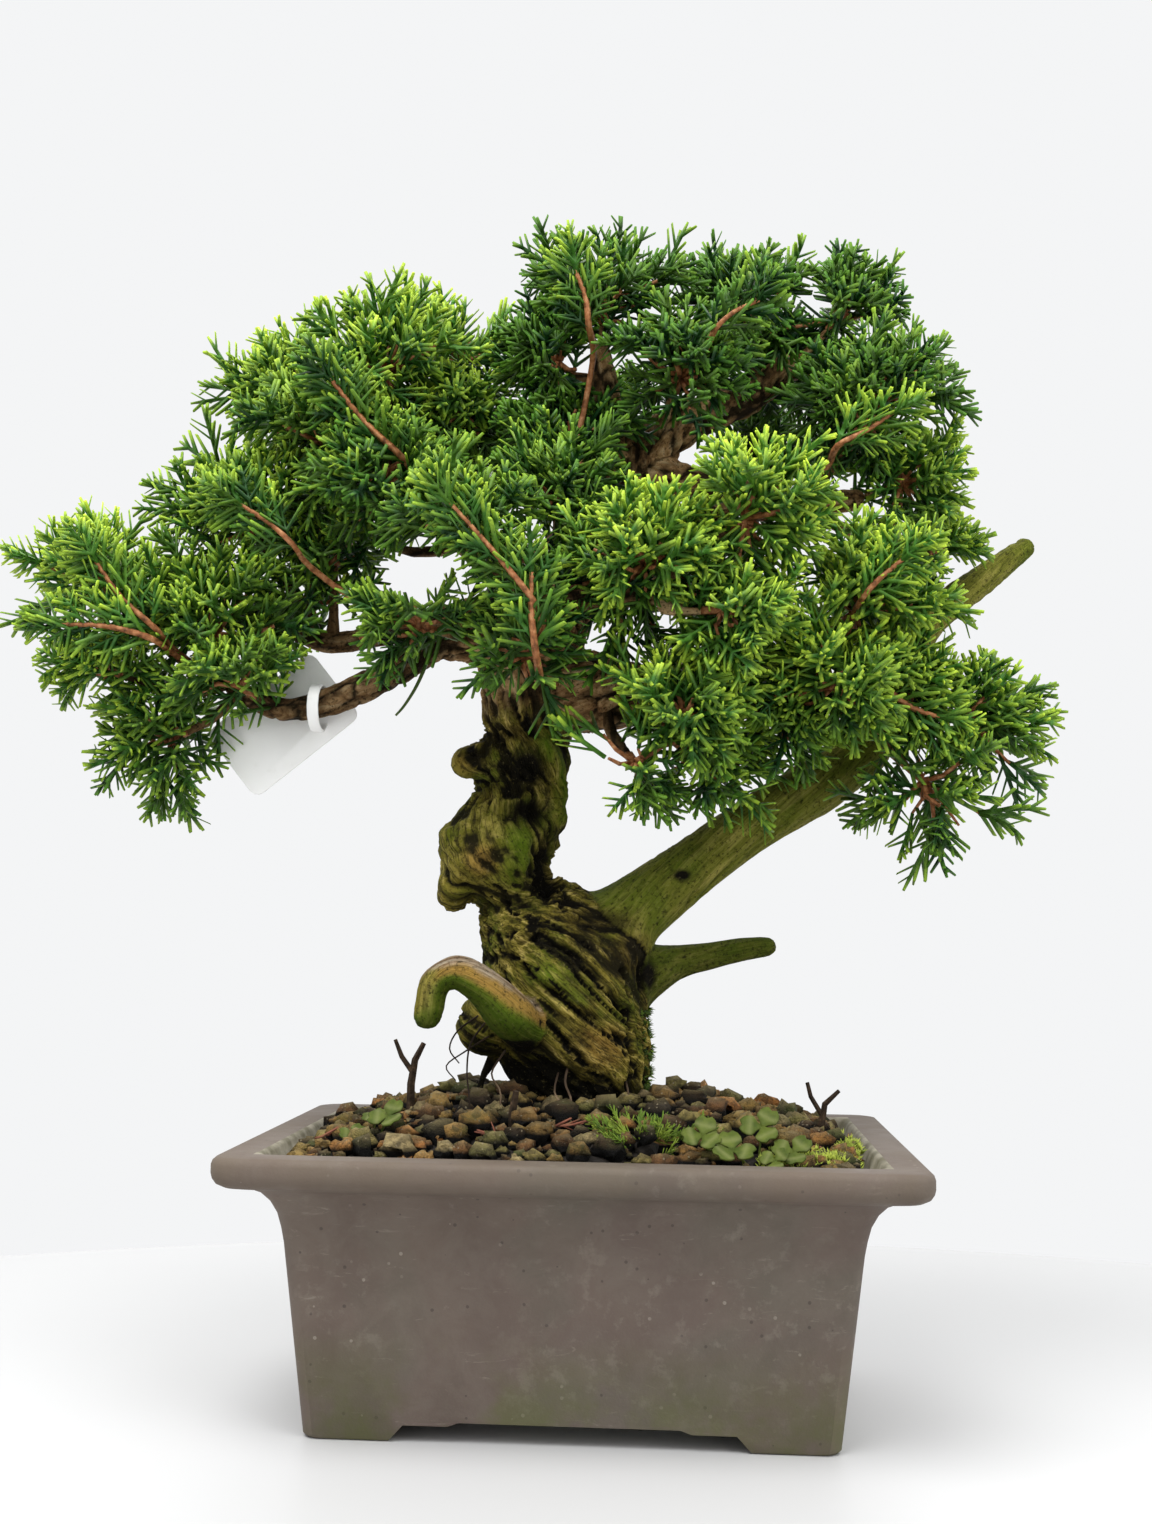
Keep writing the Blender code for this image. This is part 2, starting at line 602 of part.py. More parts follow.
def build_soil(look):
    """Coarse granular soil that fills the pot: relief all over, and the larger grains standing out of it."""
    draw = random.Random(21)
    half_x, half_y = RIM_WIDTH / 2, RIM_DEPTH / 2
    corner_room = 0.9 + GAP
    walls = [
        (FOOT_INSET - 1.2 + WALL + corner_room, FLOOR_TOP + GAP), (16.6 + WALL + corner_room, 55.6), (SOIL_INSET, 69.9),
    ]
    points = []
    for inset, z in walls:
        x, y = half_x - inset, half_y - inset
        points += [(-x, -y, z), (x, -y, z), (x, y, z), (-x, y, z)]
    faces = [(3, 2, 1, 0)]
    for level in (0, 4):
        faces += [(level + i, level + (i + 1) % 4, level + 4 + (i + 1) % 4, level + 4 + i) for i in range(4)]
    across, deep = SOIL_CELLS
    wide, far = half_x - SOIL_INSET, half_y - SOIL_INSET
    first = len(points)
    for j in range(deep + 1):
        for i in range(across + 1):
            x, y = wide * (2 * i / across - 1), far * (2 * j / deep - 1)
            if 0 < i < across:
                x += draw.uniform(-1.5, 1.5)
            if 0 < j < deep:
                y += draw.uniform(-1.5, 1.5)
            points.append((x, y, soil_height(x, y) + draw.uniform(-SOIL_ROUGH, SOIL_ROUGH)))

    def at(i, j):
        return first + j * (across + 1) + i

    for j in range(deep):
        for i in range(across):
            a, b, c, d = at(i, j), at(i + 1, j), at(i + 1, j + 1), at(i, j + 1)
            faces += [(a, b, c), (a, c, d)] if (i + j) % 2 else [(a, b, d), (b, c, d)]
    faces.append((8, 9, *(at(i, 0) for i in range(across, -1, -1))))
    faces.append((9, 10, *(at(across, j) for j in range(deep, -1, -1))))
    faces.append((10, 11, *(at(i, deep) for i in range(across + 1))))
    faces.append((11, 8, *(at(0, j) for j in range(deep + 1))))
    body = object_from("soil", points, faces)
    grains = []
    placed = [(0, 0, 27.0)] + [(x, y, 7.0) for x, y, _ in SMALL_HOLES]
    while len(grains) < SOIL_GRAINS:
        radius = draw.uniform(*GRAIN_RADIUS)
        x, y = draw.uniform(-wide + radius, wide - radius), draw.uniform(-far + radius, far - radius)
        if any(math.hypot(x - px, y - py) < radius + room for px, py, room in placed):
            continue
        placed.append((x, y, radius))
        radii = (radius, radius * 0.85, radius * 0.75)
        grains.append(knot("grain", (x, y, soil_height(x, y) + radius * 0.2), radii, len(grains), level=1))
    soil = fuse("soil", [body, *grains], look)
    hole = [(x, y, z, radius + GAP) for x, y, z, radius in ROOT_PLUG]
    hole[0] = (0, 0, HOLE_BOTTOM - GAP, hole[0][3])
    apply_boolean(soil, "DIFFERENCE", limb("hole_cutter", hole, 16))
    for x, y, radius in SMALL_HOLES:
        low, high = soil_height(x, y) - SMALL_HOLE_DEPTH, soil_height(x, y) + 6.0
        cutter = rod("hole_cutter", (x, y, low), (x, y, high), radius + GAP, radius + GAP, sides=8)
        apply_boolean(soil, "DIFFERENCE", cutter)
    for x in (-DRAIN_X, DRAIN_X):
        top = FLOOR_TOP + GAP + SCREEN_THICK + GAP
        apply_boolean(soil, "DIFFERENCE", square_block("pocket_cutter", x, 0, SCREEN_SIDE / 2 + GAP, FLOOR_TOP - 2, top))
    return soil


def stands_at(place):
    """A stem's start: the foot of its hole in the soil, with a little room under it."""
    x, y, radius = place
    return (x, y, soil_height(x, y) - SMALL_HOLE_DEPTH + GAP, radius)


def build_clover(name, place, leaves, look):
    """A clover plant: one root, and bare stalks that each carry a flat leaf of three heart-shaped leaflets."""
    x, y, radius = place
    crown = Vector((x, y, soil_height(x, y) + 2.5))
    pieces = [rod(name, stands_at(place)[:3], crown + Vector((0, 0, 1.0)), radius, radius * 0.8, sides=6)]
    for k, (side, forward, rise, half) in enumerate(leaves):
        top = Vector((x + side, y + forward, soil_height(x + side, y + forward) + rise))
        pieces.append(rod(name + "_stalk", crown, top, 0.7, 0.5, turn=k))
        outline = []
        for lobe in range(3):
            for angle, share in ((-60, 0.34), (-27, 1.0), (0, 0.8), (27, 1.0)):
                turn = math.radians(angle + lobe * 120 + 40 * k)
                outline.append((half * share * math.cos(turn), half * share * math.sin(turn)))
        lean = Vector((side * 0.02, forward * 0.02 - 0.3, 1.0)).normalized()
        u = lean.orthogonal().normalized()
        v = lean.cross(u)
        rings = [[tuple(top + u * a + v * b + lean * h) for a, b in outline] for h in (-0.4, 0.4)]
        pieces.append(loft(name + "_leaf", rings))
    return fuse(name, pieces, look)


def build_twig(name, place, paths, look):
    """A dead twig that stands in the soil: a stem, and forks that start inside it."""
    pieces = []
    for k, path in enumerate(paths):
        start = [stands_at(place)] if k == 0 else []
        pieces.append(limb(name, start + path, 5))
    return shade_round(fuse(name, pieces, look))


def build_tag(look):
    """A blank plate behind the lowest left bough, and the strap that holds it there."""
    slope = math.radians(TAG_SLOPE)
    middle = Vector(TAG_MIDDLE)
    long = Vector((math.cos(slope), 0, math.sin(slope)))
    wide = Vector((-math.sin(slope), 0, math.cos(slope)))
    ring = rounded_rectangle(TAG_LONG / 2, TAG_WIDE / 2, 3.0, 0)
    levels = [[tuple(middle + long * a + wide * b + Vector((0, h, 0))) for a, b, _ in ring]
              for h in (-TAG_THICK / 2, TAG_THICK / 2)]
    plate = loft("label_tag", levels)
    centre = Vector(STRAP_MIDDLE)
    rings = []
    for step in range(STRAP_STEPS):
        angle = 2 * math.pi * step / STRAP_STEPS
        ring = []
        for sideways, grow in ((-0.5, 0), (0.5, 0), (0.5, 1), (-0.5, 1)):
            deep, high = (half + grow * STRAP_THICK for half in STRAP_HALF)
            off = Vector((sideways * STRAP_WIDE, deep * math.cos(angle), high * math.sin(angle)))
            ring.append(tuple(centre + off))
        rings.append(ring)
    points = [p for ring in rings for p in ring]
    faces = []
    for r in range(STRAP_STEPS):
        for i in range(4):
            j, n = (i + 1) % 4, (r + 1) % STRAP_STEPS
            faces.append((r * 4 + i, r * 4 + j, n * 4 + j, n * 4 + i))
    strap = object_from("strap", points, faces)
    return fuse("label_tag", [plate, strap], look)


def cloud_stem(middle, radii, bough, occupied):
    """The bare branch that carries a cloud: from its bough to inside the cloud, ending where its twigs have room."""
    start, thick = nearest_on(limb_of(bough), middle)
    end = Vector(middle)
    inward = (start - end).normalized()
    first = min(2.6, thick * 0.7)
    for share in (0.42, 0.3, 0.18, 0.05, -0.1):
        reach = share * sum(r * abs(d) for r, d in zip(radii, inward))
        tip = end + inward * reach - Vector((0, 0, radii[2] * 0.12))
        elbow = start.lerp(tip, 0.55) - Vector((0, 0, 0.05 * (end - start).length))
        outward = (tip - elbow).normalized()
        if occupied.is_clear(tip, tip + outward * 6.0, HUB_RADIUS + 0.6, margin=GAP):
            break
    return [(*start, first), (*elbow, first * 0.85), (*tip, 1.35)]


def build_tree(look, occupied):
    """Trunk, boughs, deadwood and burls: the wood grew as one piece, and is one solid."""
    pieces = [limb("juniper_wood", TRUNK, 12, flutes=0.085, lobes=3, twist=0.035), limb("root_plug", ROOT_PLUG, 16)]
    occupied.add_path("juniper_wood", TRUNK)
    root = stands_at(ROOT_LEFT)
    pieces.append(limb("root_left", [root, (-30, -11, 91, 1.1), (-26, -11, 104, 1.4), (-18, -9, 116, 1.4)], 5))
    for name, path in BOUGHS.items():
        pieces.append(limb("bough_" + name, path, 5, flutes=0.05, twist=0.05))
        occupied.add_path("juniper_wood", path)
    for name, path in JINS.items():
        pieces.append(limb("jin_" + name, path, 8, flutes=0.06, lobes=2, twist=0.04, cap=1.0))
        occupied.add_path("juniper_wood", path)
    for i, (centre, radii) in enumerate(KNOTS):
        pieces.append(knot("burl", centre, radii, i, level=2 if max(radii) > 10.5 else 1))
        occupied.add("juniper_wood", centre, centre, max(radii))
    stems = {}
    for name, (middle, radii, bough) in CLOUDS.items():
        stems[name] = cloud_stem(middle, radii, bough, occupied)
        pieces.append(limb("stem_" + name, stems[name], 4))
        occupied.add_path("foliage_" + name + "_stem", stems[name])
    return shade_round(fuse("juniper_wood", pieces, look)), stems


def centre_on_footprint():
    """Moves everything so that the origin is the middle of the footprint of the whole object, at its foot."""
    corners = [o.matrix_world @ v.co for o in bpy.context.scene.objects if o.type == "MESH" for v in o.data.vertices]
    low = Vector(min(c[k] for c in corners) for k in range(3))
    high = Vector(max(c[k] for c in corners) for k in range(3))
    middle = (low + high) / 2
    shift = Matrix.Translation((-middle.x, -middle.y, -low.z))
    for made in bpy.context.scene.objects:
        if made.type == "MESH":
            made.data.transform(shift)


def main():
    for startup in list(bpy.data.objects):
        bpy.data.objects.remove(startup)
    clay = material("stoneware", (0.13, 0.105, 0.095), 0.62)
    grit = material("soil", (0.10, 0.065, 0.035), 0.95)
    net = material("screen", (0.02, 0.02, 0.02), 0.6)
    wood = material("wood", (0.16, 0.12, 0.05), 0.85)
    leaf = material("foliage", (0.05, 0.16, 0.03), 0.55)
    herb = material("clover", (0.07, 0.20, 0.03), 0.5)
    stick = material("dead_twig", (0.09, 0.05, 0.025), 0.9)
    plastic = material("tag_plastic", (0.75, 0.74, 0.70), 0.4)
    build_pot(clay)
    build_screen("drain_screen_left", -DRAIN_X, net)
    build_screen("drain_screen_right", DRAIN_X, net)
    build_soil(grit)
    occupied = Occupied()
    tree, stems = build_tree(wood, occupied)
    build_tag(plastic)
    slope = math.radians(TAG_SLOPE)
    for across in (-10.0, -3.3, 3.3, 10.0):
        ends = []
        for reach in (-17.0, 17.0):
            ends.append((
                TAG_MIDDLE[0] + reach * math.cos(slope) - across * math.sin(slope), TAG_MIDDLE[1],
                TAG_MIDDLE[2] + reach * math.sin(slope) + across * math.cos(slope),
            ))
        occupied.add("label_tag", *ends, 3.6)
    occupied.add("label_tag", STRAP_MIDDLE, STRAP_MIDDLE, 9.0)
    build_clover("clover_right", CLOVER_RIGHT, [
        (-15, -4, 9.0, 4.0), (-7, -9, 6.5, 3.4), (1, 3, 9.5, 4.0), (9, -5, 7.5, 3.7),
    ], herb)
    build_clover("clover_left", CLOVER_LEFT, [(4, -1, 7.5, 3.9)], herb)
    build_twig("twig_left", TWIG_LEFT, [
        [(-51, -8, 91, 1.3), (-50, -8, 98, 1.1), (-47.5, -8, 103, 0.8)],
        [(-50.4, -8, 94, 0.9), (-54, -8.5, 99, 0.8), (-56, -9, 104, 0.6)],
    ], stick)
    build_twig("twig_right", TWIG_RIGHT, [
        [(70, -12, 82, 1.1), (71, -12, 88, 0.9), (75, -13, 92, 0.6)],
        [(70.3, -12, 84.5, 0.8), (67, -11, 90, 0.7), (66, -11, 94, 0.6)],
    ], stick)
    build_twig("twig_front", TWIG_FRONT, [[(-18, -33, 86, 1.2), (-17, -34, 92, 0.9)]], stick)
    for name, (middle, radii, bough) in CLOUDS.items():
        foliage_cloud("foliage_" + name, middle, radii, stems[name], occupied, leaf)
    centre_on_footprint()


main()
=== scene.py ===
"""Chinese juniper bonsai in an unglazed pot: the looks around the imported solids, in the order it is put together."""

import json
import math
import random

import bmesh
import bpy
import numpy as np
from mathutils import Euler, Matrix, Vector, noise
from mathutils.bvhtree import BVHTree

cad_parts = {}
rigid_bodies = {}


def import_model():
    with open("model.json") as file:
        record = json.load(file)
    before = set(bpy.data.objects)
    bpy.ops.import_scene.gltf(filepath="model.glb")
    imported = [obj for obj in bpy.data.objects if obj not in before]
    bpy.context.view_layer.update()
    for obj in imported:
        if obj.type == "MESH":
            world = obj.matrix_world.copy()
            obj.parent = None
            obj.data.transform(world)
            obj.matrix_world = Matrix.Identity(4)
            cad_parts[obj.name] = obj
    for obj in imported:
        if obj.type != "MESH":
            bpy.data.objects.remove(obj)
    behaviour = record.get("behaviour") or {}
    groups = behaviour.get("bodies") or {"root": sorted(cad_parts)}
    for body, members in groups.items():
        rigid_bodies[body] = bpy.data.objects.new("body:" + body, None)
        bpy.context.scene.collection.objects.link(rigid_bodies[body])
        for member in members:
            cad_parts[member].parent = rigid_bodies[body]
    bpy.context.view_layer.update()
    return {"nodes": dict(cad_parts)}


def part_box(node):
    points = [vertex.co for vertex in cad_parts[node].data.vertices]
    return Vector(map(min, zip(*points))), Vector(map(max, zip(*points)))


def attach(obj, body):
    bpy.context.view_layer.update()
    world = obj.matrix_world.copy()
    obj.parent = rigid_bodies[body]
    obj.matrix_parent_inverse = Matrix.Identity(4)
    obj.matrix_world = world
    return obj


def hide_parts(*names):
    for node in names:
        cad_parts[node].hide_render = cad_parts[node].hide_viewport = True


for startup in list(bpy.data.objects):
    bpy.data.objects.remove(startup)
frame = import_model()
bpy.ops.object.select_all(action="DESELECT")

# Table, daylight and the eye. The pot stands on a plain white table in soft light from above and in front,
# and is seen from a little above its rim, half a metre away.
MM = 0.001
pot_low, pot_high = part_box("pot")
POT_MIDDLE = Vector(((pot_low.x + pot_high.x) / 2, (pot_low.y + pot_high.y) / 2, 0.0))
EYE = (28.6, -500.2, 137.7)
EYE_YAW, EYE_PITCH, EYE_ROLL = math.radians(3.7), math.radians(5.8), math.radians(0.83)
EYE_LENS, EYE_SENSOR, EYE_NEAREST = 38.74, 36.0, 0.02
TABLE_MIDDLE, TABLE_RADIUS = (45, -345, -0.2), 600
TABLE_WHITE, SKY = (0.55, 0.55, 0.55, 1), (0.905, 0.912, 0.920, 1)
SOFTBOXES = [((-260, -360, 900), 0.6, 9.0), ((520, -420, 640), 0.6, 3.5), ((60, 620, 800), 0.7, 3.0)]
LIT_PLACE = (0, 0, 190)


def here(x, y, z):
    """A place in metres, from millimetres right of, behind and above the middle of the pot's foot."""
    return POT_MIDDLE + Vector((x, y, z)) * MM


camera = bpy.data.objects.new("eye", bpy.data.cameras.new("eye"))
bpy.context.scene.collection.objects.link(camera)
camera.data.lens = EYE_LENS
camera.data.sensor_width = EYE_SENSOR
camera.data.clip_start = EYE_NEAREST
turn = Matrix.Rotation(EYE_YAW, 4, "Z") @ Matrix.Rotation(math.radians(90) + EYE_PITCH, 4, "X")
camera.matrix_world = Matrix.Translation(here(*EYE)) @ turn @ Matrix.Rotation(EYE_ROLL, 4, "Z")
bpy.context.scene.camera = camera

bpy.ops.mesh.primitive_circle_add(
    vertices=256, radius=TABLE_RADIUS * MM, fill_type="NGON", location=here(*TABLE_MIDDLE),
)
table = bpy.context.object
table.name = "table"
white = bpy.data.materials.new("table_white")
white.use_nodes = True
white_shader = white.node_tree.nodes["Principled BSDF"]
white_shader.inputs["Base Color"].default_value = TABLE_WHITE
white_shader.inputs["Roughness"].default_value = 0.45
table.data.materials.append(white)

room = bpy.data.worlds.new("room")
room.use_nodes = True
room.node_tree.nodes["Background"].inputs["Color"].default_value = SKY
room.node_tree.nodes["Background"].inputs["Strength"].default_value = 1.0
bpy.context.scene.world = room
bpy.context.scene.view_settings.view_transform = "Standard"
for spot, size, power in SOFTBOXES:
    lamp = bpy.data.objects.new("softbox", bpy.data.lights.new("softbox", "AREA"))
    lamp.data.size = size
    lamp.data.energy = power
    aim = (here(*LIT_PLACE) - here(*spot)).to_track_quat("-Z", "Y").to_matrix().to_4x4()
    lamp.matrix_world = Matrix.Translation(here(*spot)) @ aim
    bpy.context.scene.collection.objects.link(lamp)

# Pot: slip-cast stoneware, unglazed, grey-brown with a purple cast. The walls lean out to a lipped rim,
# and four bracket feet are cut out of the bottom edge. Two drain holes go through the floor.
RIM_HALF = (95, 70)
POT_OUTSIDE = [
    (22.3, 0.8), (16.6, 52), (15.9, 56), (14.9, 60), (13.2, 63.4), (10.9, 66), (8.4, 67.3), (5.2, 67.9),
    (2.7, 68.4), (1.1, 69.4), (0.3, 70.8), (0, 72.2), (0, 74.5), (0.35, 75.6), (1.1, 76.3), (2.2, 76.5),
]
POT_INSIDE = [(9.8, 76.5), (10.9, 76.2), (11.7, 75.3), (14.6, 68), (22.1, 56), (26.6, 12)]
POT_CORNER = 4.6
DRAIN_X, DRAIN_RADIUS = 34.0, 7.0
FOOT_HALF, FOOT_LENGTH = (72.7, 47.7), (24, 19)
ARCH = [(1.5, -1), (0, 0), (-4, 4.4), (-16, 4.4), (-19, 5.5)]
POCKET_HALF, POCKET_CORNER = (63.7, 38.7), 3.0
SHADED_SMOOTH = math.radians(35)


def begin(name, primitive, **settings):
    """Adds a primitive with nothing else selected, and opens it in edit mode."""
    bpy.ops.object.select_all(action="DESELECT")
    primitive(**settings)
    piece = bpy.context.object
    piece.name = name
    bpy.ops.object.mode_set(mode="EDIT")
    return piece


def close(piece):
    """Leaves edit mode and puts the piece's place into its mesh."""
    bpy.ops.object.mode_set(mode="OBJECT")
    bpy.ops.object.transform_apply(location=True, rotation=True, scale=True)
    return piece


def stack(name, steps, corner=0.0):
    """A block drawn up from a plate through steps of half width, half depth and height, in millimetres."""
    half_x, half_y, low = steps[0]
    piece = begin(name, bpy.ops.mesh.primitive_plane_add, size=2.0, location=here(0, 0, low))
    bpy.ops.transform.resize(value=(half_x * MM, half_y * MM, 1), center_override=here(0, 0, low))
    if corner:
        bpy.ops.mesh.bevel(offset=corner * MM, segments=6, affect="VERTICES")
    bpy.ops.mesh.select_all(action="SELECT")
    for before, after in zip(steps[:-1], steps[1:]):
        bpy.ops.mesh.extrude_region_move(TRANSFORM_OT_translate={"value": (0, 0, (after[2] - before[2]) * MM)})
        bpy.ops.transform.resize(
            value=(after[0] / before[0], after[1] / before[1], 1), center_override=here(0, 0, after[2]),
        )
    bpy.ops.mesh.select_all(action="SELECT")
    bpy.ops.mesh.normals_make_consistent(inside=False)
    return close(piece)


def pick(piece):
    """Selects one piece alone."""
    bpy.ops.object.select_all(action="DESELECT")
    piece.select_set(True)
    bpy.context.view_layer.objects.active = piece


def modified(piece, kind, **settings):
    """Puts a modifier on the piece and applies it."""
    pick(piece)
    change = piece.modifiers.new(kind.lower(), kind)
    for name, value in settings.items():
        setattr(change, name, value)
    bpy.ops.object.modifier_apply(modifier=change.name)


def cut_away(piece, cutter):
    """Cuts one piece out of another and throws it away."""
    modified(piece, "BOOLEAN", operation="DIFFERENCE", solver="MANIFOLD", object=cutter)
    bpy.data.objects.remove(cutter)


def soften(piece, width, segments, angle):
    """Rounds the piece's sharp edges a little, and shades it smooth between those that stay sharp."""
    limit = math.radians(angle)
    modified(piece, "BEVEL", width=width * MM, segments=segments, limit_method="ANGLE", angle_limit=limit)
    bpy.ops.object.shade_smooth_by_angle(angle=SHADED_SMOOTH)


def finish_with(piece, look, slot, *nodes):
    """Gives the piece its look, lets it ride with the object, and hides the parts it takes the place of."""
    piece.data.materials.clear()
    piece.data.materials.append(look.material)
    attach(piece, "root")
    if nodes:
        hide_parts(*nodes)


pot = stack("pot_stoneware", [
    (RIM_HALF[0] - inset, RIM_HALF[1] - inset, z) for inset, z in [(23.0, 0.0), *POT_OUTSIDE, *POT_INSIDE]
], POT_CORNER)
for side, through in ((0, 110.0), (1, 130.0)):
    edge = FOOT_HALF[side] - FOOT_LENGTH[side]
    arch = [(edge + beyond, through, z) if side == 0 else (through, edge + beyond, z) for beyond, z in ARCH]
    cut_away(pot, stack("arch", arch))
cut_away(pot, stack("pocket", [(*POCKET_HALF, -1.0), (*POCKET_HALF, 5.5)], POCKET_CORNER))
for side in (-1, 1):
    bpy.ops.mesh.primitive_cylinder_add(
        vertices=32, radius=DRAIN_RADIUS * MM, depth=0.02, location=here(side * DRAIN_X, 0, 9),
    )
    cut_away(pot, bpy.context.object)
soften(pot, 0.55, 3, 38)


class Wiring:
    """The nodes of a material or an effect. Whatever goes into a node is another node's socket or a plain value."""

    def __init__(self, tree):
        self.tree = tree

    def feed(self, socket, value):
        """Joins a socket to another one, or sets it to a value or a colour."""
        if isinstance(value, bpy.types.NodeSocket):
            self.tree.links.new(value, socket)
        else:
            socket.default_value = (*value, 1.0) if socket.type == "RGBA" else value

    def node(self, kind, inputs=None, **settings):
        """A shader node with its settings made and its sockets fed."""
        made = self.tree.nodes.new(kind)
        for name, value in settings.items():
            setattr(made, name, value)
        for name, value in (inputs or {}).items():
            self.feed(made.inputs[name], value)
        return made

    def sums(self, kind, first, second=0.0):
        """One sum of two values."""
        return self.node("ShaderNodeMath", {0: first, 1: second}, operation=kind).outputs[0]

    def times(self, first, second):
        """Two shares multiplied."""
        return self.sums("MULTIPLY", first, second)


class Look(Wiring):
    """A Principled material in layers: a first tone, and colours laid over it. Its places are in metres."""

    def __init__(self, name, roughness, specular=0.5):
        self.material = bpy.data.materials.new(name)
        self.material.use_nodes = True
        super().__init__(self.material.node_tree)
        self.shader = self.tree.nodes["Principled BSDF"]
        self.shader.inputs["Roughness"].default_value = roughness
        self.shader.inputs["Specular IOR Level"].default_value = specular
        self.place = self.tree.nodes.new("ShaderNodeTexCoord").outputs["Object"]
        self.tone = None

    def cloudy(self, scale, detail=4.0, roughness=0.55, distortion=0.0, place=None):
        """Soft noise at a scale, in cycles a metre."""
        return self.node("ShaderNodeTexNoise", {
            "Vector": self.place if place is None else place,
            "Scale": scale, "Detail": detail, "Roughness": roughness, "Distortion": distortion,
        }).outputs["Fac"]

    def mapped(self, place, **turns):
        """A place moved, turned or drawn out."""
        return self.node("ShaderNodeMapping", {"Vector": place, **turns}).outputs[0]

    def stored(self, label, output="Fac"):
        """What the mesh holds at its points under a label."""
        return self.node("ShaderNodeAttribute", attribute_name=label).outputs[output]

    def parts(self, vector):
        """The three parts of a vector."""
        return self.node("ShaderNodeSeparateXYZ", {"Vector": vector}).outputs

    def between(self, value, low, high, to_low=0.0, to_high=1.0):
        """A value spread over a range, and held at its ends."""
        return self.node("ShaderNodeMapRange", {
            "Value": value, "From Min": low, "From Max": high, "To Min": to_low, "To Max": to_high,
        }).outputs["Result"]

    def patches(self, settings, low, high, to_low=0.0, to_high=1.0):
        """Patches where a noise of these settings rises from low to high."""
        return self.between(self.cloudy(*settings), low, high, to_low, to_high)

    def ramp(self, share, stops):
        """A colour ramp through stops of place and colour."""
        made = self.node("ShaderNodeValToRGB", {"Fac": share})
        elements = made.color_ramp.elements
        while len(elements) > 1:
            elements.remove(elements[0])
        for i, (place, colour) in enumerate(stops):
            stop = elements[0] if i == 0 else elements.new(place)
            stop.position = place
            stop.color = (*colour, 1.0)
        return made.outputs["Color"]

    def blend(self, share, first, second):
        """Two tones mixed by a share."""
        return self.node("ShaderNodeMix", {0: share, 6: first, 7: second}, data_type="RGBA").outputs[2]

    def over(self, share, colour):
        """Lays a colour over the tone."""
        self.tone = self.blend(share, self.tone, colour)

    def done(self, height, strength, distance, roughness=None):
        """Gives the shader the tone, a height as relief, and an uneven roughness where there is one."""
        bump = self.node("ShaderNodeBump", {"Height": height, "Strength": strength, "Distance": distance})
        self.feed(self.shader.inputs["Base Color"], self.tone)
        self.feed(self.shader.inputs["Normal"], bump.outputs["Normal"])
        if roughness is not None:
            self.feed(self.shader.inputs["Roughness"], roughness)


# Grit is the fine speckle of sand in clay, soil and stone: a mask of specks, and the relief of the surface
grit = Wiring(bpy.data.node_groups.new("grit", "ShaderNodeTree"))
for direction, kind, labels in (
    ("INPUT", "NodeSocketVector", ["Place"]),
    ("INPUT", "NodeSocketFloat", ["Speck Scale", "Speck Size", "Grain Scale"]),
    ("OUTPUT", "NodeSocketFloat", ["Specks", "Relief"]),
):
    for label in labels:
        grit.tree.interface.new_socket(label, in_out=direction, socket_type=kind)
given = grit.tree.nodes.new("NodeGroupInput").outputs
cells = grit.node("ShaderNodeTexVoronoi", {"Vector": given["Place"], "Scale": given["Speck Scale"]}).outputs
near = grit.sums("LESS_THAN", cells["Distance"], given["Speck Size"])
rare = grit.node("ShaderNodeSeparateColor", {"Color": cells["Color"]}).outputs[0]
specks = grit.times(near, grit.sums("GREATER_THAN", rare, 0.82))
fine = grit.node("ShaderNodeTexNoise", {"Vector": given["Place"], "Scale": given["Grain Scale"], "Detail": 2.0})
relief = grit.sums("ADD", fine.outputs["Fac"], grit.times(specks, 0.8))
grit.node("NodeGroupOutput", {"Specks": specks, "Relief": relief})


def with_grit(look, speck_scale, speck_size, grain_scale, place=None):
    """Places the grit effect in a look, and returns its specks and its relief."""
    made = look.node("ShaderNodeGroup", {
        "Place": look.place if place is None else place,
        "Speck Scale": speck_scale, "Speck Size": speck_size, "Grain Scale": grain_scale,
    }, node_tree=grit.tree)
    return made.outputs["Specks"], made.outputs["Relief"]


INNER_WALL_HALF, INNER_WALL_LOW = (0.0848, 0.0598), 0.0672
clay = Look("unglazed_stoneware", 0.68, 0.3)
x, y, z = clay.parts(clay.place)
clay.tone = clay.ramp(clay.cloudy(22, 6, 0.62), [
    (0.30, (0.098, 0.073, 0.059)), (0.5, (0.119, 0.090, 0.072)), (0.72, (0.142, 0.108, 0.085)),
])
purple = clay.patches((9, 3), 0.45, 0.7, 0.0, 0.45)
clay.over(purple, (0.104, 0.076, 0.068))
greyed = clay.patches((13, 5, 0.6, 0.6), 0.50, 0.62, 0.0, 0.55)
clay.over(greyed, (0.100, 0.092, 0.070))
mottled = clay.patches((75, 8, 0.72, 0.5), 0.42, 0.62, 0.0, 0.45)
clay.over(mottled, (0.152, 0.124, 0.100))
dark_specks, clay_relief = with_grit(clay, 330, 0.16, 1500)
clay.over(clay.times(dark_specks, 0.6), (0.045, 0.036, 0.032))
pale_specks, _ = with_grit(clay, 300, 0.15, 900, clay.mapped(clay.place, Location=(3, 7, 2)))
clay.over(clay.times(pale_specks, clay.patches((60, 4), 0.50, 0.60, 0.0, 0.5)), (0.34, 0.30, 0.25))
streaks = clay.mapped(clay.place, Scale=(1, 1, 5), Rotation=(0.3, 0.7, 0.2))
scratched = clay.patches((46, 8, 0.78, 1.5, streaks), 0.61, 0.69, 0.0, 0.5)
clay.over(scratched, (0.26, 0.225, 0.185))
scuffed = clay.times(clay.patches((170, 6, 0.7), 0.54, 0.66), clay.patches((14, 3), 0.46, 0.6, 0.0, 0.4))
clay.over(scuffed, (0.22, 0.19, 0.155))
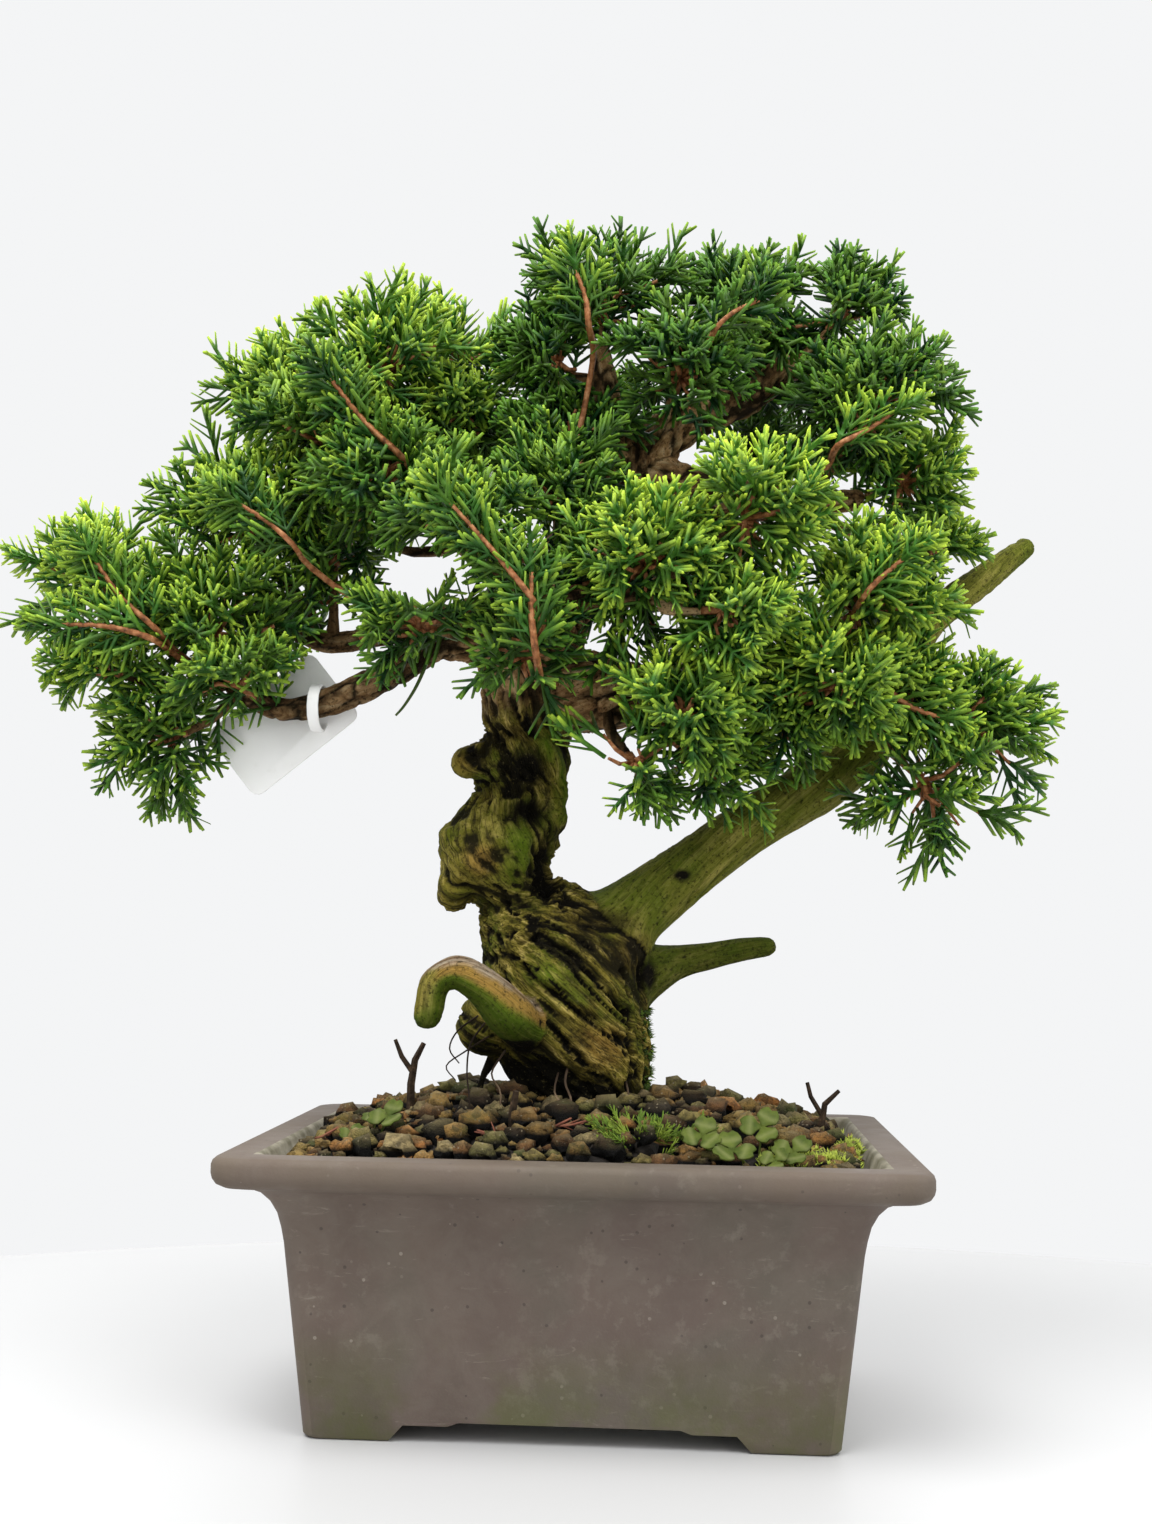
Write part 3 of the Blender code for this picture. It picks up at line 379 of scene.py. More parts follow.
low_down = clay.times(clay.between(z, 0.030, 0.004), clay.patches((30, 6, 0.65), 0.42, 0.58))
clay.over(clay.times(low_down, 0.75), (0.100, 0.104, 0.040))
rubbed = clay.times(clay.between(z, 0.0660, 0.0700), clay.patches((90, 5), 0.35, 0.65, 0.15, 0.6))
clay.over(rubbed, (0.116, 0.090, 0.064))
inner_wall = clay.sums("GREATER_THAN", z, INNER_WALL_LOW)
for across, middle, half in zip((x, y), POT_MIDDLE, INNER_WALL_HALF):
    off = clay.sums("ABSOLUTE", clay.sums("SUBTRACT", across, middle))
    inner_wall = clay.times(inner_wall, clay.sums("LESS_THAN", off, half))
bloom = clay.ramp(clay.cloudy(120, 5), [(0.38, (0.105, 0.095, 0.045)), (0.60, (0.300, 0.275, 0.205))])
clay.over(clay.times(inner_wall, 0.8), bloom)
clay.done(clay_relief, 0.35, 0.0002, clay.patches((60,), 0.3, 0.7, 0.58, 0.8))
finish_with(pot, clay, "stoneware", "pot")

# Drain screens: a square of black plastic net lies over each drain hole, so that the soil stays in.
# They are cut from a moulded sheet and held only by the soil's weight.
SCREEN_HALF, SCREEN_CELLS, SCREEN_MIDDLE = 10.5, 10, 12.85
STRAND = 0.85


def mottled_look(name, roughness, specular, mottle, stops, relief, strength, distance):
    """A plain look: one noise through a colour ramp, and another as relief."""
    look = Look(name, roughness, specular)
    look.tone = look.ramp(look.cloudy(*mottle), stops)
    look.done(look.cloudy(*relief), strength, distance)
    return look


net = mottled_look(
    "black_net", 0.45, 0.5, (500,), [(0.3, (0.012, 0.012, 0.012)), (0.7, (0.03, 0.03, 0.028))], (1800,), 0.3, 0.0001,
)
for name, side in (("drain_screen_left", -1), ("drain_screen_right", 1)):
    screen = close(begin(
        "net_" + name[13:], bpy.ops.mesh.primitive_grid_add, x_subdivisions=SCREEN_CELLS, y_subdivisions=SCREEN_CELLS,
        size=2 * (SCREEN_HALF - 0.4) * MM, location=here(side * DRAIN_X, 0, SCREEN_MIDDLE),
    ))
    modified(screen, "WIREFRAME", thickness=STRAND * MM, use_even_offset=False)
    bpy.ops.object.shade_smooth_by_angle(angle=math.radians(30))
    finish_with(screen, net, "screen_plastic", name)

# Soil: fired clay, pumice and grit in grains of 3 to 8 mm, brown to ochre, poured in and mounded round the trunk.
# The packed soil stays as the bed, painted near-black as the shade deep in the gaps, and loose grains lie on it,
# which are painted dark beneath and lighter on top as painted shade and light.
STANDING, STANDING_CLEAR = [(50, -47), (-57, -34), (-51, -8), (70, -12), (-18, -33), (-30, -11)], 3.2
SOIL_HALF = (79.5, 54.5)
GRAIN_COUNT, GRAIN_TRIES, COARSE_SHARE = 780, 14, 0.36
COARSE_RADII, FINE_RADII = (2.9, 4.9), (1.3, 2.7)
grain_draw = random.Random(12)


def shape_of(piece):
    """The points and faces of a modelled master, which is then removed."""
    points = np.array([v.co for v in piece.data.vertices], float)
    faces = [tuple(f.vertices) for f in piece.data.polygons]
    bpy.data.objects.remove(piece)
    return points, faces


def store(mesh, label, data):
    """Keeps a number or three numbers for each point of a mesh under a label."""
    kind, field = ("FLOAT", "value") if np.ndim(data) == 1 else ("FLOAT_VECTOR", "vector")
    mesh.attributes.new(label, kind, "POINT").data.foreach_set(field, np.asarray(data, np.float32).ravel())


def copies(name, masters, places, values):
    """One mesh of many copies. A place is a master's number and its copy's points, and values lie on the points."""
    points, loops, totals = [], [], []
    offset = 0
    for number, moved in places:
        for face in masters[number][1]:
            loops.extend(offset + i for i in face)
            totals.append(len(face))
        points.append(moved)
        offset += len(moved)
    points = np.concatenate(points)
    mesh = bpy.data.meshes.new(name)
    mesh.vertices.add(len(points))
    mesh.vertices.foreach_set("co", points.astype(np.float32).ravel())
    mesh.loops.add(len(loops))
    mesh.loops.foreach_set("vertex_index", np.array(loops, np.int32))
    mesh.polygons.add(len(totals))
    mesh.polygons.foreach_set("loop_start", np.concatenate([[0], np.cumsum(totals)[:-1]]).astype(np.int32))
    mesh.polygons.foreach_set("use_smooth", np.ones(len(totals), bool))
    mesh.update(calc_edges=True)
    mesh.validate()
    for label, data in values.items():
        store(mesh, label, data)
    made = bpy.data.objects.new(name, mesh)
    bpy.context.scene.collection.objects.link(made)
    return made


def surface_of(mesh):
    """A mesh's surface, for setting things on it."""
    return BVHTree.FromPolygons([v.co for v in mesh.vertices], [tuple(p.vertices) for p in mesh.polygons])


def set_down(points, scale, turned, foot):
    """A master's points scaled, turned and put on their place."""
    return (points * scale) @ np.array(turned).T + np.array(foot)


def drawn(draw, *ranges):
    """One random number from each range."""
    return [draw.uniform(low, high) for low, high in ranges]


grains = []
for kind in range(5):
    grain = begin("grain", bpy.ops.mesh.primitive_ico_sphere_add, subdivisions=2, radius=1.0)
    bpy.ops.transform.vertex_random(offset=0.34, uniform=1.0, normal=0.0, seed=kind + 3)
    bpy.ops.transform.resize(value=(1.0, 0.82 + 0.05 * kind, 0.78), center_override=(0, 0, 0))
    grains.append(shape_of(close(grain)))
soil_surface = surface_of(frame["nodes"]["soil"].data)
wood_surface = surface_of(frame["nodes"]["juniper_wood"].data)
lying, taken, tints = [], [], []
for _ in range(GRAIN_COUNT * GRAIN_TRIES):
    if len(lying) == GRAIN_COUNT:
        break
    coarse = len(lying) / GRAIN_COUNT < COARSE_SHARE
    radius = grain_draw.uniform(*(COARSE_RADII if coarse else FINE_RADII))
    gx, gy = drawn(grain_draw, *((radius * 0.7 - half, half - radius * 0.7) for half in SOIL_HALF))
    if any((gx - a) ** 2 + (gy - b) ** 2 < STANDING_CLEAR**2 for a, b in STANDING):
        continue
    spot = soil_surface.ray_cast(here(gx, gy, 100), Vector((0, 0, -1)))[0]
    if spot is None or spot.z < 0.066:
        continue
    spot.z += radius * grain_draw.uniform(0.2, 0.65) * MM
    if wood_surface.find_nearest(spot)[3] < radius * 0.75 * MM:
        continue
    packed = 0.74 if coarse else 0.6
    if any((spot - other).length < (radius + size) * packed * MM for other, size in taken):
        continue
    taken.append((spot.copy(), radius))
    number = grain_draw.randrange(5)
    lean = Euler(drawn(grain_draw, (-0.6, 0.6), (-0.6, 0.6), (0, 6.28))).to_matrix()
    scale = radius * MM * np.array(drawn(grain_draw, (0.85, 1.2), (0.8, 1.1), (0.85, 1.15)))
    lying.append((number, set_down(grains[number][0], scale, lean, spot)))
    upward = (lying[-1][1][:, 2] - spot.z) / (radius * MM)
    tints.append(np.stack([np.full(len(upward), grain_draw.random()), upward, np.zeros(len(upward))], 1))
soil_grains = copies("soil_grains", grains, lying, {"tint": np.concatenate(tints)})

gravel = Look("fired_clay_grains", 0.88, 0.2)
tint = gravel.parts(gravel.stored("tint", "Vector"))
gravel.tone = gravel.ramp(tint[0], [
    (0.0, (0.020, 0.013, 0.007)), (0.14, (0.060, 0.036, 0.017)), (0.30, (0.200, 0.096, 0.036)),
    (0.44, (0.300, 0.195, 0.056)), (0.60, (0.480, 0.190, 0.050)), (0.74, (0.340, 0.270, 0.088)),
    (0.84, (0.100, 0.105, 0.036)), (0.92, (0.045, 0.030, 0.020)), (1.0, (0.480, 0.370, 0.170)),
])
specks, gravel_relief = with_grit(gravel, 900, 0.3, 2400)
shadowed = gravel.blend(0.72, gravel.tone, (0.020, 0.015, 0.009))
gravel.over(gravel.patches((330, 6, 0.65), 0.42, 0.60), shadowed)
gravel.over(gravel.times(specks, 0.7), (0.30, 0.25, 0.16))
algae = gravel.patches((75, 4), 0.52, 0.66, 0.0, 0.5)
gravel.over(algae, (0.060, 0.080, 0.016))
# Painted shade under each grain and a painted highlight on its top, read from the stored height within the grain.
gravel.over(gravel.between(tint[1], 0.40, 0.04), (0.002, 0.0016, 0.001))
gravel.over(gravel.between(tint[1], 0.5, 1.0, 0.0, 0.30), (0.54, 0.42, 0.20))
gravel.done(gravel.sums("ADD", gravel_relief, gravel.cloudy(480, 7, 0.75)), 1.0, 0.0014)
finish_with(soil_grains, gravel, "soil")

# The bed under the grains is painted near-black, as the shade deep in the gaps between them.
bed = mottled_look("soil_bed_painted_shade", 0.95, 0.5, (300, 6), [
    (0.35, (0.003, 0.002, 0.001)), (0.6, (0.012, 0.008, 0.005)), (0.75, (0.03, 0.02, 0.01)),
], (500, 6), 1.0, 0.001)
for slot in frame["nodes"]["soil"].material_slots:
    slot.material = bed.material
# Juniper: trunk, boughs and deadwood grew as one. The low trunk and the three stubs are stripped and weathered,
# green with algae, with winding grain and clefts that are painted black as shade. Higher up the old bark hangs on in
# flakes.
TRUNK = [
    (0, 0, 58, 16), (0, 0, 84, 18), (0, 0, 94, 19.2), (-2, 0, 100, 21.6), (-5, 0, 107, 23.6), (-7, 0, 121, 24.2),
    (-11, -1, 131, 21), (-16, -2, 139, 16), (-20.5, -4, 147, 12), (-23.5, -5, 157, 13.6), (-23, -5, 168, 14.8),
    (-21, -3, 177, 13.2), (-20, -1, 188, 14.2), (-19, -1, 197, 12.6), (-18, -1, 207, 15.2), (-17, 2, 222, 14.6),
    (-11, 7, 241, 13), (-4, 10, 256, 11.4), (5, 12, 274, 9.8), (16, 13, 290, 8.4), (33, 13, 301, 7),
    (50, 12, 308, 5.6), (62, 10, 318, 4),
]
BOUGHS = [
    [(-14, -1, 210, 13), (2, -4, 209, 12), (14, -7, 209, 9), (34, -10, 211, 7.4), (58, -10, 212, 6.2),
     (79, -9, 207, 5.2), (96, -6, 196, 3.8)],
    [(-20, -3, 219, 9), (-33, -6, 225, 7.8), (-46, -11, 224, 6.6), (-56, -15, 216, 5.6), (-66, -18, 209, 4.9),
     (-78, -19, 204, 4.3), (-91, -18, 202, 3.7), (-104, -17, 207, 3.2), (-112, -16, 215, 2.7)],
    [(-14, 3, 234, 7), (-30, 2, 236, 6), (-47, 1, 232, 5), (-66, 0, 228, 4), (-80, -2, 225, 3.3),
     (-92, -3, 228, 2.8)],
    [(-9, 6, 242, 8.5), (-28, 3, 252, 6.6), (-46, -1, 264, 5.4), (-58, -4, 278, 4.5), (-63, -5, 294, 3.4)],
    [(-15, -6, 217, 7), (-14, -19, 224, 5.2), (-9, -31, 231, 4.2), (8, -38, 232, 3.2), (26, -40, 232, 2.6)],
    [(6, 12, 276, 7.5), (6, 6, 291, 5.6), (4, 1, 305, 4.6), (2, -3, 318, 3.4)],
    [(12, 13, 284, 7), (36, 12, 278, 5.6), (62, 9, 272, 4.6), (82, 6, 272, 3.4)],
    [(-9, 10, 244, 8), (-3, 24, 251, 6.2), (8, 38, 262, 5), (26, 46, 272, 4), (44, 50, 282, 3)],
    [(-12, 9, 238, 7), (-26, 20, 250, 5.2), (-40, 30, 262, 4.2), (-52, 36, 272, 3.2)],
    [(8, -6, 209, 8), (28, 12, 214, 5.6), (52, 28, 222, 4.6), (72, 38, 230, 3.4)],
]
STUBS = [
    [(0, 0, 134, 12.5), (14, 2, 143, 10.8), (35, 2, 159, 8.8), (53, 5, 172, 8.6), (72, 11, 184, 9),
     (86, 17, 196, 7.6), (97, 25, 216, 6.4), (108, 33, 238, 5.8), (127, 40, 254, 5), (142, 46, 266, 3.6)],
    [(10, 4, 120, 10), (20, 5, 125, 7.6), (28, 7, 128, 5.4), (40, 8, 130.5, 4.2), (48, 8, 132, 3.8),
     (55, 8, 133, 3.2)],
    [(-13, -8, 108, 7), (-17, -22, 110, 7), (-20, -31, 114, 6.8), (-26, -35.5, 121, 6.2), (-34, -37, 125.5, 5.6),
     (-40, -36.5, 122, 4.8), (-42.5, -35.5, 113, 4.2)],
]
BURLS = [
    ((-28, -9, 109), (9.5, 8.5, 9)), ((-29, -10, 162), (14.5, 12.5, 13.5)), ((-39, -10, 149), (4.8, 5, 6.2)),
    ((-33, -5, 188), (6.5, 6, 5)), ((-8, -4, 214), (13, 11, 9)), ((9, -3, 133), (10.5, 12, 9.5)),
    ((-2, 6, 135), (12, 10, 5.5)), ((85, 14, 196), (8.5, 8, 8.5)), ((4, 11, 262), (10, 9, 9)),
]
# Lumps and hollows on the weathered wood: centre, radii, push out, then how much painted shade, algae green and ochre
# stain each gets.
BUMPS_SHADE_AND_STAINS = [
    ((-32, -22, 170), (2.4, 4, 2), -1.8, 1, 0, 0), ((-18, -23, 158), (5.5, 6.5, 9), 1.8, 0, 1, 0),
    ((-18, -15, 172), (9.5, 7, 5), -4.2, 1, 0, 0), ((-11, -10, 155), (4.5, 7, 10), -3.6, 1, 0, 0),
    ((-35, -13, 187), (6, 6.5, 3.2), 3.4, 0, 0, 0.5), ((-37, -15, 189.5), (5, 6, 0.9), -2.2, 0.9, 0, 0),
    ((-40, -14, 184), (2.5, 5, 1.6), 1.8, 0.2, 0, 0), ((-30, -14, 179), (6, 6, 3), -1.8, 0.5, 0, 0.2),
    ((-17, -16, 185), (8.5, 8, 8), -1.8, 0.8, 0.1, 0), ((-24, -17, 196), (8, 7, 3), -1.2, 0.7, 0, 0.3),
    ((-36, -20, 152), (5, 6, 6), 0.8, 0, 0.3, 0.4), ((-30, -23, 157), (6, 6, 5), 0.6, 0, 0, 0.9),
    ((-32, -12, 143), (4, 7, 3), -1.8, 0.7, 0, 0), ((-19, -21, 145), (9, 7, 3.2), -1, 0.7, 0.5, 0),
    ((4, -12, 140), (14, 9, 4.5), -1.2, 0.6, 0, 0.2), ((13, -11, 131), (7, 8, 7), -0.8, 0.5, 0, 0.4),
    ((-9, -27, 124), (8, 7, 3.6), 1, 0, 0.9, 0), ((8, -22, 104), (9, 8, 7), 0.6, 0, 0, 0.7),
    ((-19, -25, 103), (9, 9, 6), -2.6, 1, 0, 0), ((-12, -22, 94), (14, 10, 5.5), -3, 1, 0, 0),
    ((4, -18, 89), (13, 10, 4.5), -1.6, 1, 0, 0), ((-22, 2, 96), (9, 16, 7), -2.2, 0.9, 0, 0),
    ((-17, -36, 112), (8, 7, 6.5), 2.4, 0, 0, 0), ((29, -6, 154), (3.2, 5, 2), -1, 0.9, 0, 0),
    ((19, 2, 124), (4, 12, 7), -1.8, 0.9, 0, 0),
    ((0, 16, 128), (14, 9, 8), -1.4, 0.5, 0.4, 0), ((-14, 18, 110), (9, 8, 9), 1.2, 0, 0.5, 0.2),
    ((12, 17, 102), (8, 8, 10), -1.6, 0.8, 0, 0), ((-14, 12, 160), (7, 6, 10), -1.8, 0.8, 0.2, 0),
]
# Creases: a line over the wood, its width and its depth. They are cut in and painted dark as shade.
CREASES = [
    ([(-27, -24, 130), (-13, -23, 137), (-2, -24, 131), (9, -22, 120), (14, -17, 114)], 1, 2.8),
    ([(-19, -27, 127), (-9, -28, 120), (-2, -28, 115), (9, -24, 111), (16, -15, 101)], 0.8, 2.2),
    ([(-24, -24, 121), (-14, -27, 113), (-3, -27, 104), (4, -24, 97)], 0.7, 1.8),
    ([(15, -6, 131), (17, -5, 112), (18, -7, 94)], 1.4, 2.6),
    ([(12, -13, 128), (13, -14, 116), (14, -14, 96)], 0.7, 1.8),
    ([(-12, 20, 130), (4, 22, 118), (8, 20, 98)], 1, 2.4),
    ([(-24, 10, 126), (-16, 18, 112), (-12, 18, 94)], 1, 2.4),
    ([(24, 8, 146), (44, 11, 160), (66, 17, 174), (84, 22, 188)], 0.6, 1.2),
]
CRESCENT = [(-12, -13, 194), (-8, -10, 189), (-6, -9, 183), (-6, -8, 177), (-8, -7, 171)]
TWISTS = {"trunk": 0.042, "bough": 0.03, "stub": 0.022}
MERGE = 1.6
JOINED, VOXEL = 0.02, 1.06
READ_AT_ONCE = 6000


def flowing(path, steps):
    """A smooth curve through points of x, y, z and radius."""
    ends = [np.array(p, float) for p in path]
    ends = [2 * ends[0] - ends[1], *ends, 2 * ends[-1] - ends[-2]]
    found = []
    for a, b, c, d in zip(ends[:-3], ends[1:-2], ends[2:-1], ends[3:]):
        for t in np.arange(steps) / steps:
            straight = 2 * b + (c - a) * t
            found.append(0.5 * (straight + (2 * a - 5 * b + 4 * c - d) * t**2 + (3 * b - a - 3 * c + d) * t**3))
    return np.array([*found, ends[-2]])


class Limb:
    """One limb's smooth middle line and directions across it, so that a point can be read in the wood's own grain."""

    def __init__(self, path, kind):
        self.kind = kind
        line = flowing(path, 5)
        self.middle, self.radius = line[:, :3], np.maximum(line[:, 3], 1.0)
        steps = np.diff(self.middle, axis=0)
        self.travel = np.concatenate([[0.0], np.cumsum(np.linalg.norm(steps, axis=1))])
        side = np.cross(steps[0], (0.3, 1.0, 0.1))
        self.sides, self.across = [], []
        for step in [*steps, steps[-1]]:
            along = step / np.linalg.norm(step)
            side = side - along * side.dot(along)
            side = side / np.linalg.norm(side)
            self.sides.append(side)
            self.across.append(np.cross(along, side))
        self.sides, self.across = np.array(self.sides), np.array(self.across)

    def read(self, points):
        """For each point: its height over the limb's surface, the way out, and its place in the grain."""
        batches = range(0, max(len(points), 1), READ_AT_ONCE)
        found = [self.read_few(points[i:i + READ_AT_ONCE]) for i in batches]
        return [np.concatenate(part) for part in zip(*found)]

    def read_few(self, points):
        """Reads so few points that the sums fit in memory."""
        a, d = self.middle[:-1], np.diff(self.middle, axis=0)
        from_a = points[:, None, :] - a
        t = np.clip((from_a * d).sum(2) / (d * d).sum(1), 0.0, 1.0)
        off = from_a - t[:, :, None] * d
        distance = np.maximum(np.linalg.norm(off, axis=2), 1e-6)
        radius = self.radius[:-1] * (1 - t) + self.radius[1:] * t
        height = distance - radius
        best = height.min(1)
        weight = np.exp(-(height - best[:, None]) / 0.7)
        weight /= weight.sum(1)[:, None]
        travel = self.travel[:-1] + t * np.linalg.norm(d, axis=1)
        spin = TWISTS[self.kind] * travel
        u, v = (off * self.sides[:-1]).sum(2) / distance, (off * self.across[:-1]).sum(2) / distance
        turned = ((u * np.cos(spin) - v * np.sin(spin)) * radius, (u * np.sin(spin) + v * np.cos(spin)) * radius)
        out = (off / distance[:, :, None] * weight[:, :, None]).sum(1)
        return (height * weight).sum(1), out, (np.stack([*turned, travel], 2) * weight[:, :, None]).sum(1)


limbs = [Limb(TRUNK, "trunk")] + [Limb(p, "bough") for p in BOUGHS] + [Limb(p, "stub") for p in STUBS]


def read_wood(points):
    """Blends all limbs and burls into one smooth surface. For each point: its height over it, the way out, how far
    the second limb is behind the nearest, and the nearest limb's grain and number."""
    total, out = np.full(len(points), 1e-12), np.zeros((len(points), 3))
    nearest, second = np.full(len(points), 1e9), np.full(len(points), 1e9)
    grain, which = np.zeros((len(points), 3)), np.zeros(len(points), int)
    for number, limb in enumerate(limbs):
        room = limb.radius.max() + 9.0
        low, high = limb.middle.min(0) - room, limb.middle.max(0) + room
        inside = np.nonzero(((points > low) & (points < high)).all(1))[0]
        height, way, limb_grain = limb.read(points[inside])
        weight = np.exp(-np.clip(height, -20, 20) / MERGE)
        total[inside] += weight
        out[inside] += way * weight[:, None]
        beats = height < nearest[inside]
        second[inside] = np.where(beats, nearest[inside], np.minimum(second[inside], height))
        chosen = inside[beats]
        nearest[chosen], grain[chosen], which[chosen] = height[beats], limb_grain[beats], number
    for centre, radii in BURLS:
        scaled = (points - centre) / radii
        reach = np.maximum(np.linalg.norm(scaled, axis=1), 1e-6)
        way = scaled / radii
        size = np.maximum(np.linalg.norm(way, axis=1), 1e-9)
        height = (reach - 1) * reach / size
        weight = np.exp(-np.clip(height, -20, 20) / MERGE)
        total += weight
        out += way / size[:, None] * weight[:, None]
    out /= np.maximum(np.linalg.norm(out, axis=1), 1e-9)[:, None]
    return -MERGE * np.log(total), out, second - nearest, grain, which


def woven(grain, across, along, shift):
    """Noise drawn out along the grain: cells of a size across and along it, in millimetres."""
    return np.array([noise.noise(Vector(p)) for p in grain / (across, across, along) + shift])


def eased(value, low, high):
    """A value's rise from low to high, as a share that starts and ends gently."""
    share = np.clip((value - low) / (high - low), 0.0, 1.0)
    return share * share * (3 - 2 * share)


def joined_copy(name, node_name):
    """A copy of a CAD node with its points joined up, so that modifiers work on it."""
    piece = bpy.data.objects.new(name, frame["nodes"][node_name].data.copy())
    bpy.context.scene.collection.objects.link(piece)
    pick(piece)
    bpy.ops.object.mode_set(mode="EDIT")
    bpy.ops.mesh.select_all(action="SELECT")
    bpy.ops.mesh.remove_doubles(threshold=JOINED * MM)
    bpy.ops.object.mode_set(mode="OBJECT")
    return piece


def in_metres(points):
    """Points in metres, from millimetres about the middle of the pot's foot."""
    return points * MM + np.array(POT_MIDDLE)


wood = joined_copy("juniper_wood_weathered", "juniper_wood")
wood.data.remesh_voxel_size = VOXEL * MM
bpy.ops.object.voxel_remesh()
modified(wood, "SMOOTH", factor=0.5, iterations=4)
count = len(wood.data.vertices)
points, normals = np.zeros(count * 3), np.zeros(count * 3)
wood.data.vertices.foreach_get("co", points)
wood.data.vertices.foreach_get("normal", normals)
points, normals = (points.reshape(-1, 3) - np.array(POT_MIDDLE)) / MM, normals.reshape(-1, 3)
on_limb = None
for _ in range(3):
    height, out, behind, grain, which = read_wood(points)
    if on_limb is None:
        on_limb = 1 - eased(np.abs(height), 3.0, 5.0)
    points -= out * (height * on_limb)[:, None]
out = np.where((on_limb > 0.5)[:, None], out, normals)
kinds = np.array([limb.kind for limb in limbs])[which]
stub = (kinds == "stub").astype(float)
bark = np.where(kinds == "trunk", eased(points[:, 2], 198, 212), (kinds == "bough").astype(float))
bark = np.where(on_limb < 0.5, 1.0, bark)
apart = eased(behind, 0.0, 5.0) * 0.5 + 0.5
cleft_line = np.abs(woven(grain, 8.0, 40.0, 3.1) + 0.35 * woven(grain, 3.0, 12.0, 9.7))
cleft = np.exp(-(cleft_line / 0.055) ** 2) * (1 - 0.85 * bark) * (1 - 0.7 * stub)
fibres = 0.5 - np.abs(woven(grain, 2.8, 26.0, 5.3)) * 2 + 0.5 * woven(grain, 1.4, 10.0, 1.9)
swell = woven(grain, 13.0, 24.0, 7.7)
ragged = woven(grain, 2.2, 3.4, 4.4)
plate_edge = np.zeros(count)
for i in np.nonzero(bark > 0.05)[0]:
    spans, _ = noise.voronoi(Vector(grain[i] / (5.6, 5.6, 9.5)))
    plate_edge[i] = 1 - min(1.0, (spans[1] - spans[0]) / 0.22)
thick = np.clip(np.linalg.norm(grain[:, :2], axis=1) / np.where(bark > 0.5, 7.5, 12.0), 0.15, 1.0)
burl = np.exp(-(np.linalg.norm((points - (-30, -12, 163)) / (16, 16, 15), axis=1)) ** 4)
lumps = woven(points, 6.5, 6.5, 2.3) + 0.5 * woven(points, 3.0, 3.0, 8.1)
fibres = fibres * (1 - 0.9 * burl)
cleft = cleft * (1 - 0.95 * burl)
relief = swell * 1.5 * (1 - stub) * (1 - burl) + fibres * (0.80 - 0.45 * stub) - cleft * 2.0 + lumps * burl * 2.4
relief *= 1 - bark
relief += (1 - bark) * (1 - stub) * ragged * (0.5 + 1.2 * eased(points[:, 2], 132, 150))
relief += bark * (swell * 1.2 + ragged * 0.9 - plate_edge**2 * 1.3)
# How low the relief lies; the material paints these low places near-black as painted shade.
valley = np.clip(0.5 - relief / 3.0, 0.0, 1.0) * (1 - 0.45 * stub) * (1 - 0.35 * burl)
dark, green, ochre = np.zeros(count), np.zeros(count), np.zeros(count)
wobble = ragged * 0.25


def falls_off(centre, radii):
    """How far the points lie from a centre: the square of the distance, in radii."""
    return (((points - centre) / radii) ** 2).sum(1)


for centre, radii, push, *looks in BUMPS_SHADE_AND_STAINS:
    share = np.exp(-np.clip(falls_off(centre, radii) * (1 + wobble), 0, 30) ** 1.5)
    relief += (push + abs(push) * 0.7 * ragged) * share
    for tone, most in zip((dark, green, ochre), looks):
        np.maximum(tone, share * most, out=tone)


def beside(line):
    """How far the points lie from a line drawn over the surface, in millimetres."""
    nearest = np.full(count, 1e9)
    for a, b in zip(np.array(line[:-1], float), np.array(line[1:], float)):
        off = points - a
        off -= (b - a) * np.clip(off @ (b - a) / ((b - a) @ (b - a)), 0.0, 1.0)[:, None]
        depth = (off * out).sum(1)
        off -= out * np.clip(depth, -6, 6)[:, None]
        nearest = np.minimum(nearest, np.linalg.norm(off, axis=1))
    return np.abs(nearest + ragged * 1.4)


# Painted shade: each crease is cut in, with a lip beside it, and painted dark.
for line, wide, deep in CREASES:
    share = np.exp(-(beside(line) / wide) ** 2)
    relief += 0.8 * np.exp(-((beside(line) - 2.6 * wide) / wide) ** 2) - deep * share
    np.maximum(dark, share, out=dark)
dark = dark * (1 - 0.75 * burl)
# Painted shade in a ring round the raised crescent, which is green.
np.maximum(dark, 0.52 * np.exp(-((beside(CRESCENT) - 6.0) / 2.4) ** 2), out=dark)
share = np.exp(-(beside(CRESCENT) / 2.9) ** 2)
relief += 2.2 * share
dark = dark * (1 - share)
valley = valley * (1 - 0.8 * share)
np.maximum(green, share, out=green)
short_stub, hooked_stub = len(limbs) - 2, len(limbs) - 1
on_short = (which == short_stub) & (on_limb > 0.5)
dark = np.where(on_short, np.maximum(dark, 0.36), dark)
green = np.where(on_short, np.maximum(green, 0.45), green)
np.maximum(green, np.exp(-falls_off((-19, -19, 161), (5.0, 9.0, 13.0))), out=green)
# The hook is green where it faces down, ochre elsewhere and paler where it faces up, and it is painted darker as shade
# where it faces down.
hook = (which == hooked_stub) & (on_limb > 0.5) & (points[:, 1] < -24)
green = np.where(hook, 1 - eased(out[:, 2], -0.40, -0.05), green)
ochre = np.where(hook, eased(out[:, 2], -0.30, -0.05) * (1 - 0.75 * eased(-points[:, 0], 37, 41)), ochre)
dark = np.where(hook, np.maximum(dark, 0.38 * (1 - eased(out[:, 2], -0.5, 0.0))), dark)
pale = np.where(hook, eased(out[:, 2] + 0.15 * lumps, 0.24, 0.52), 0.0)
relief = relief * np.where(stub > 0, 0.75, thick) * np.where(bark > 0.5, 1.0, apart)
relief = np.where(on_limb < 0.5, ragged * 0.2, relief)
knee = np.exp(-falls_off((-17, -37, 112), (8.0, 7.0, 6.5)))
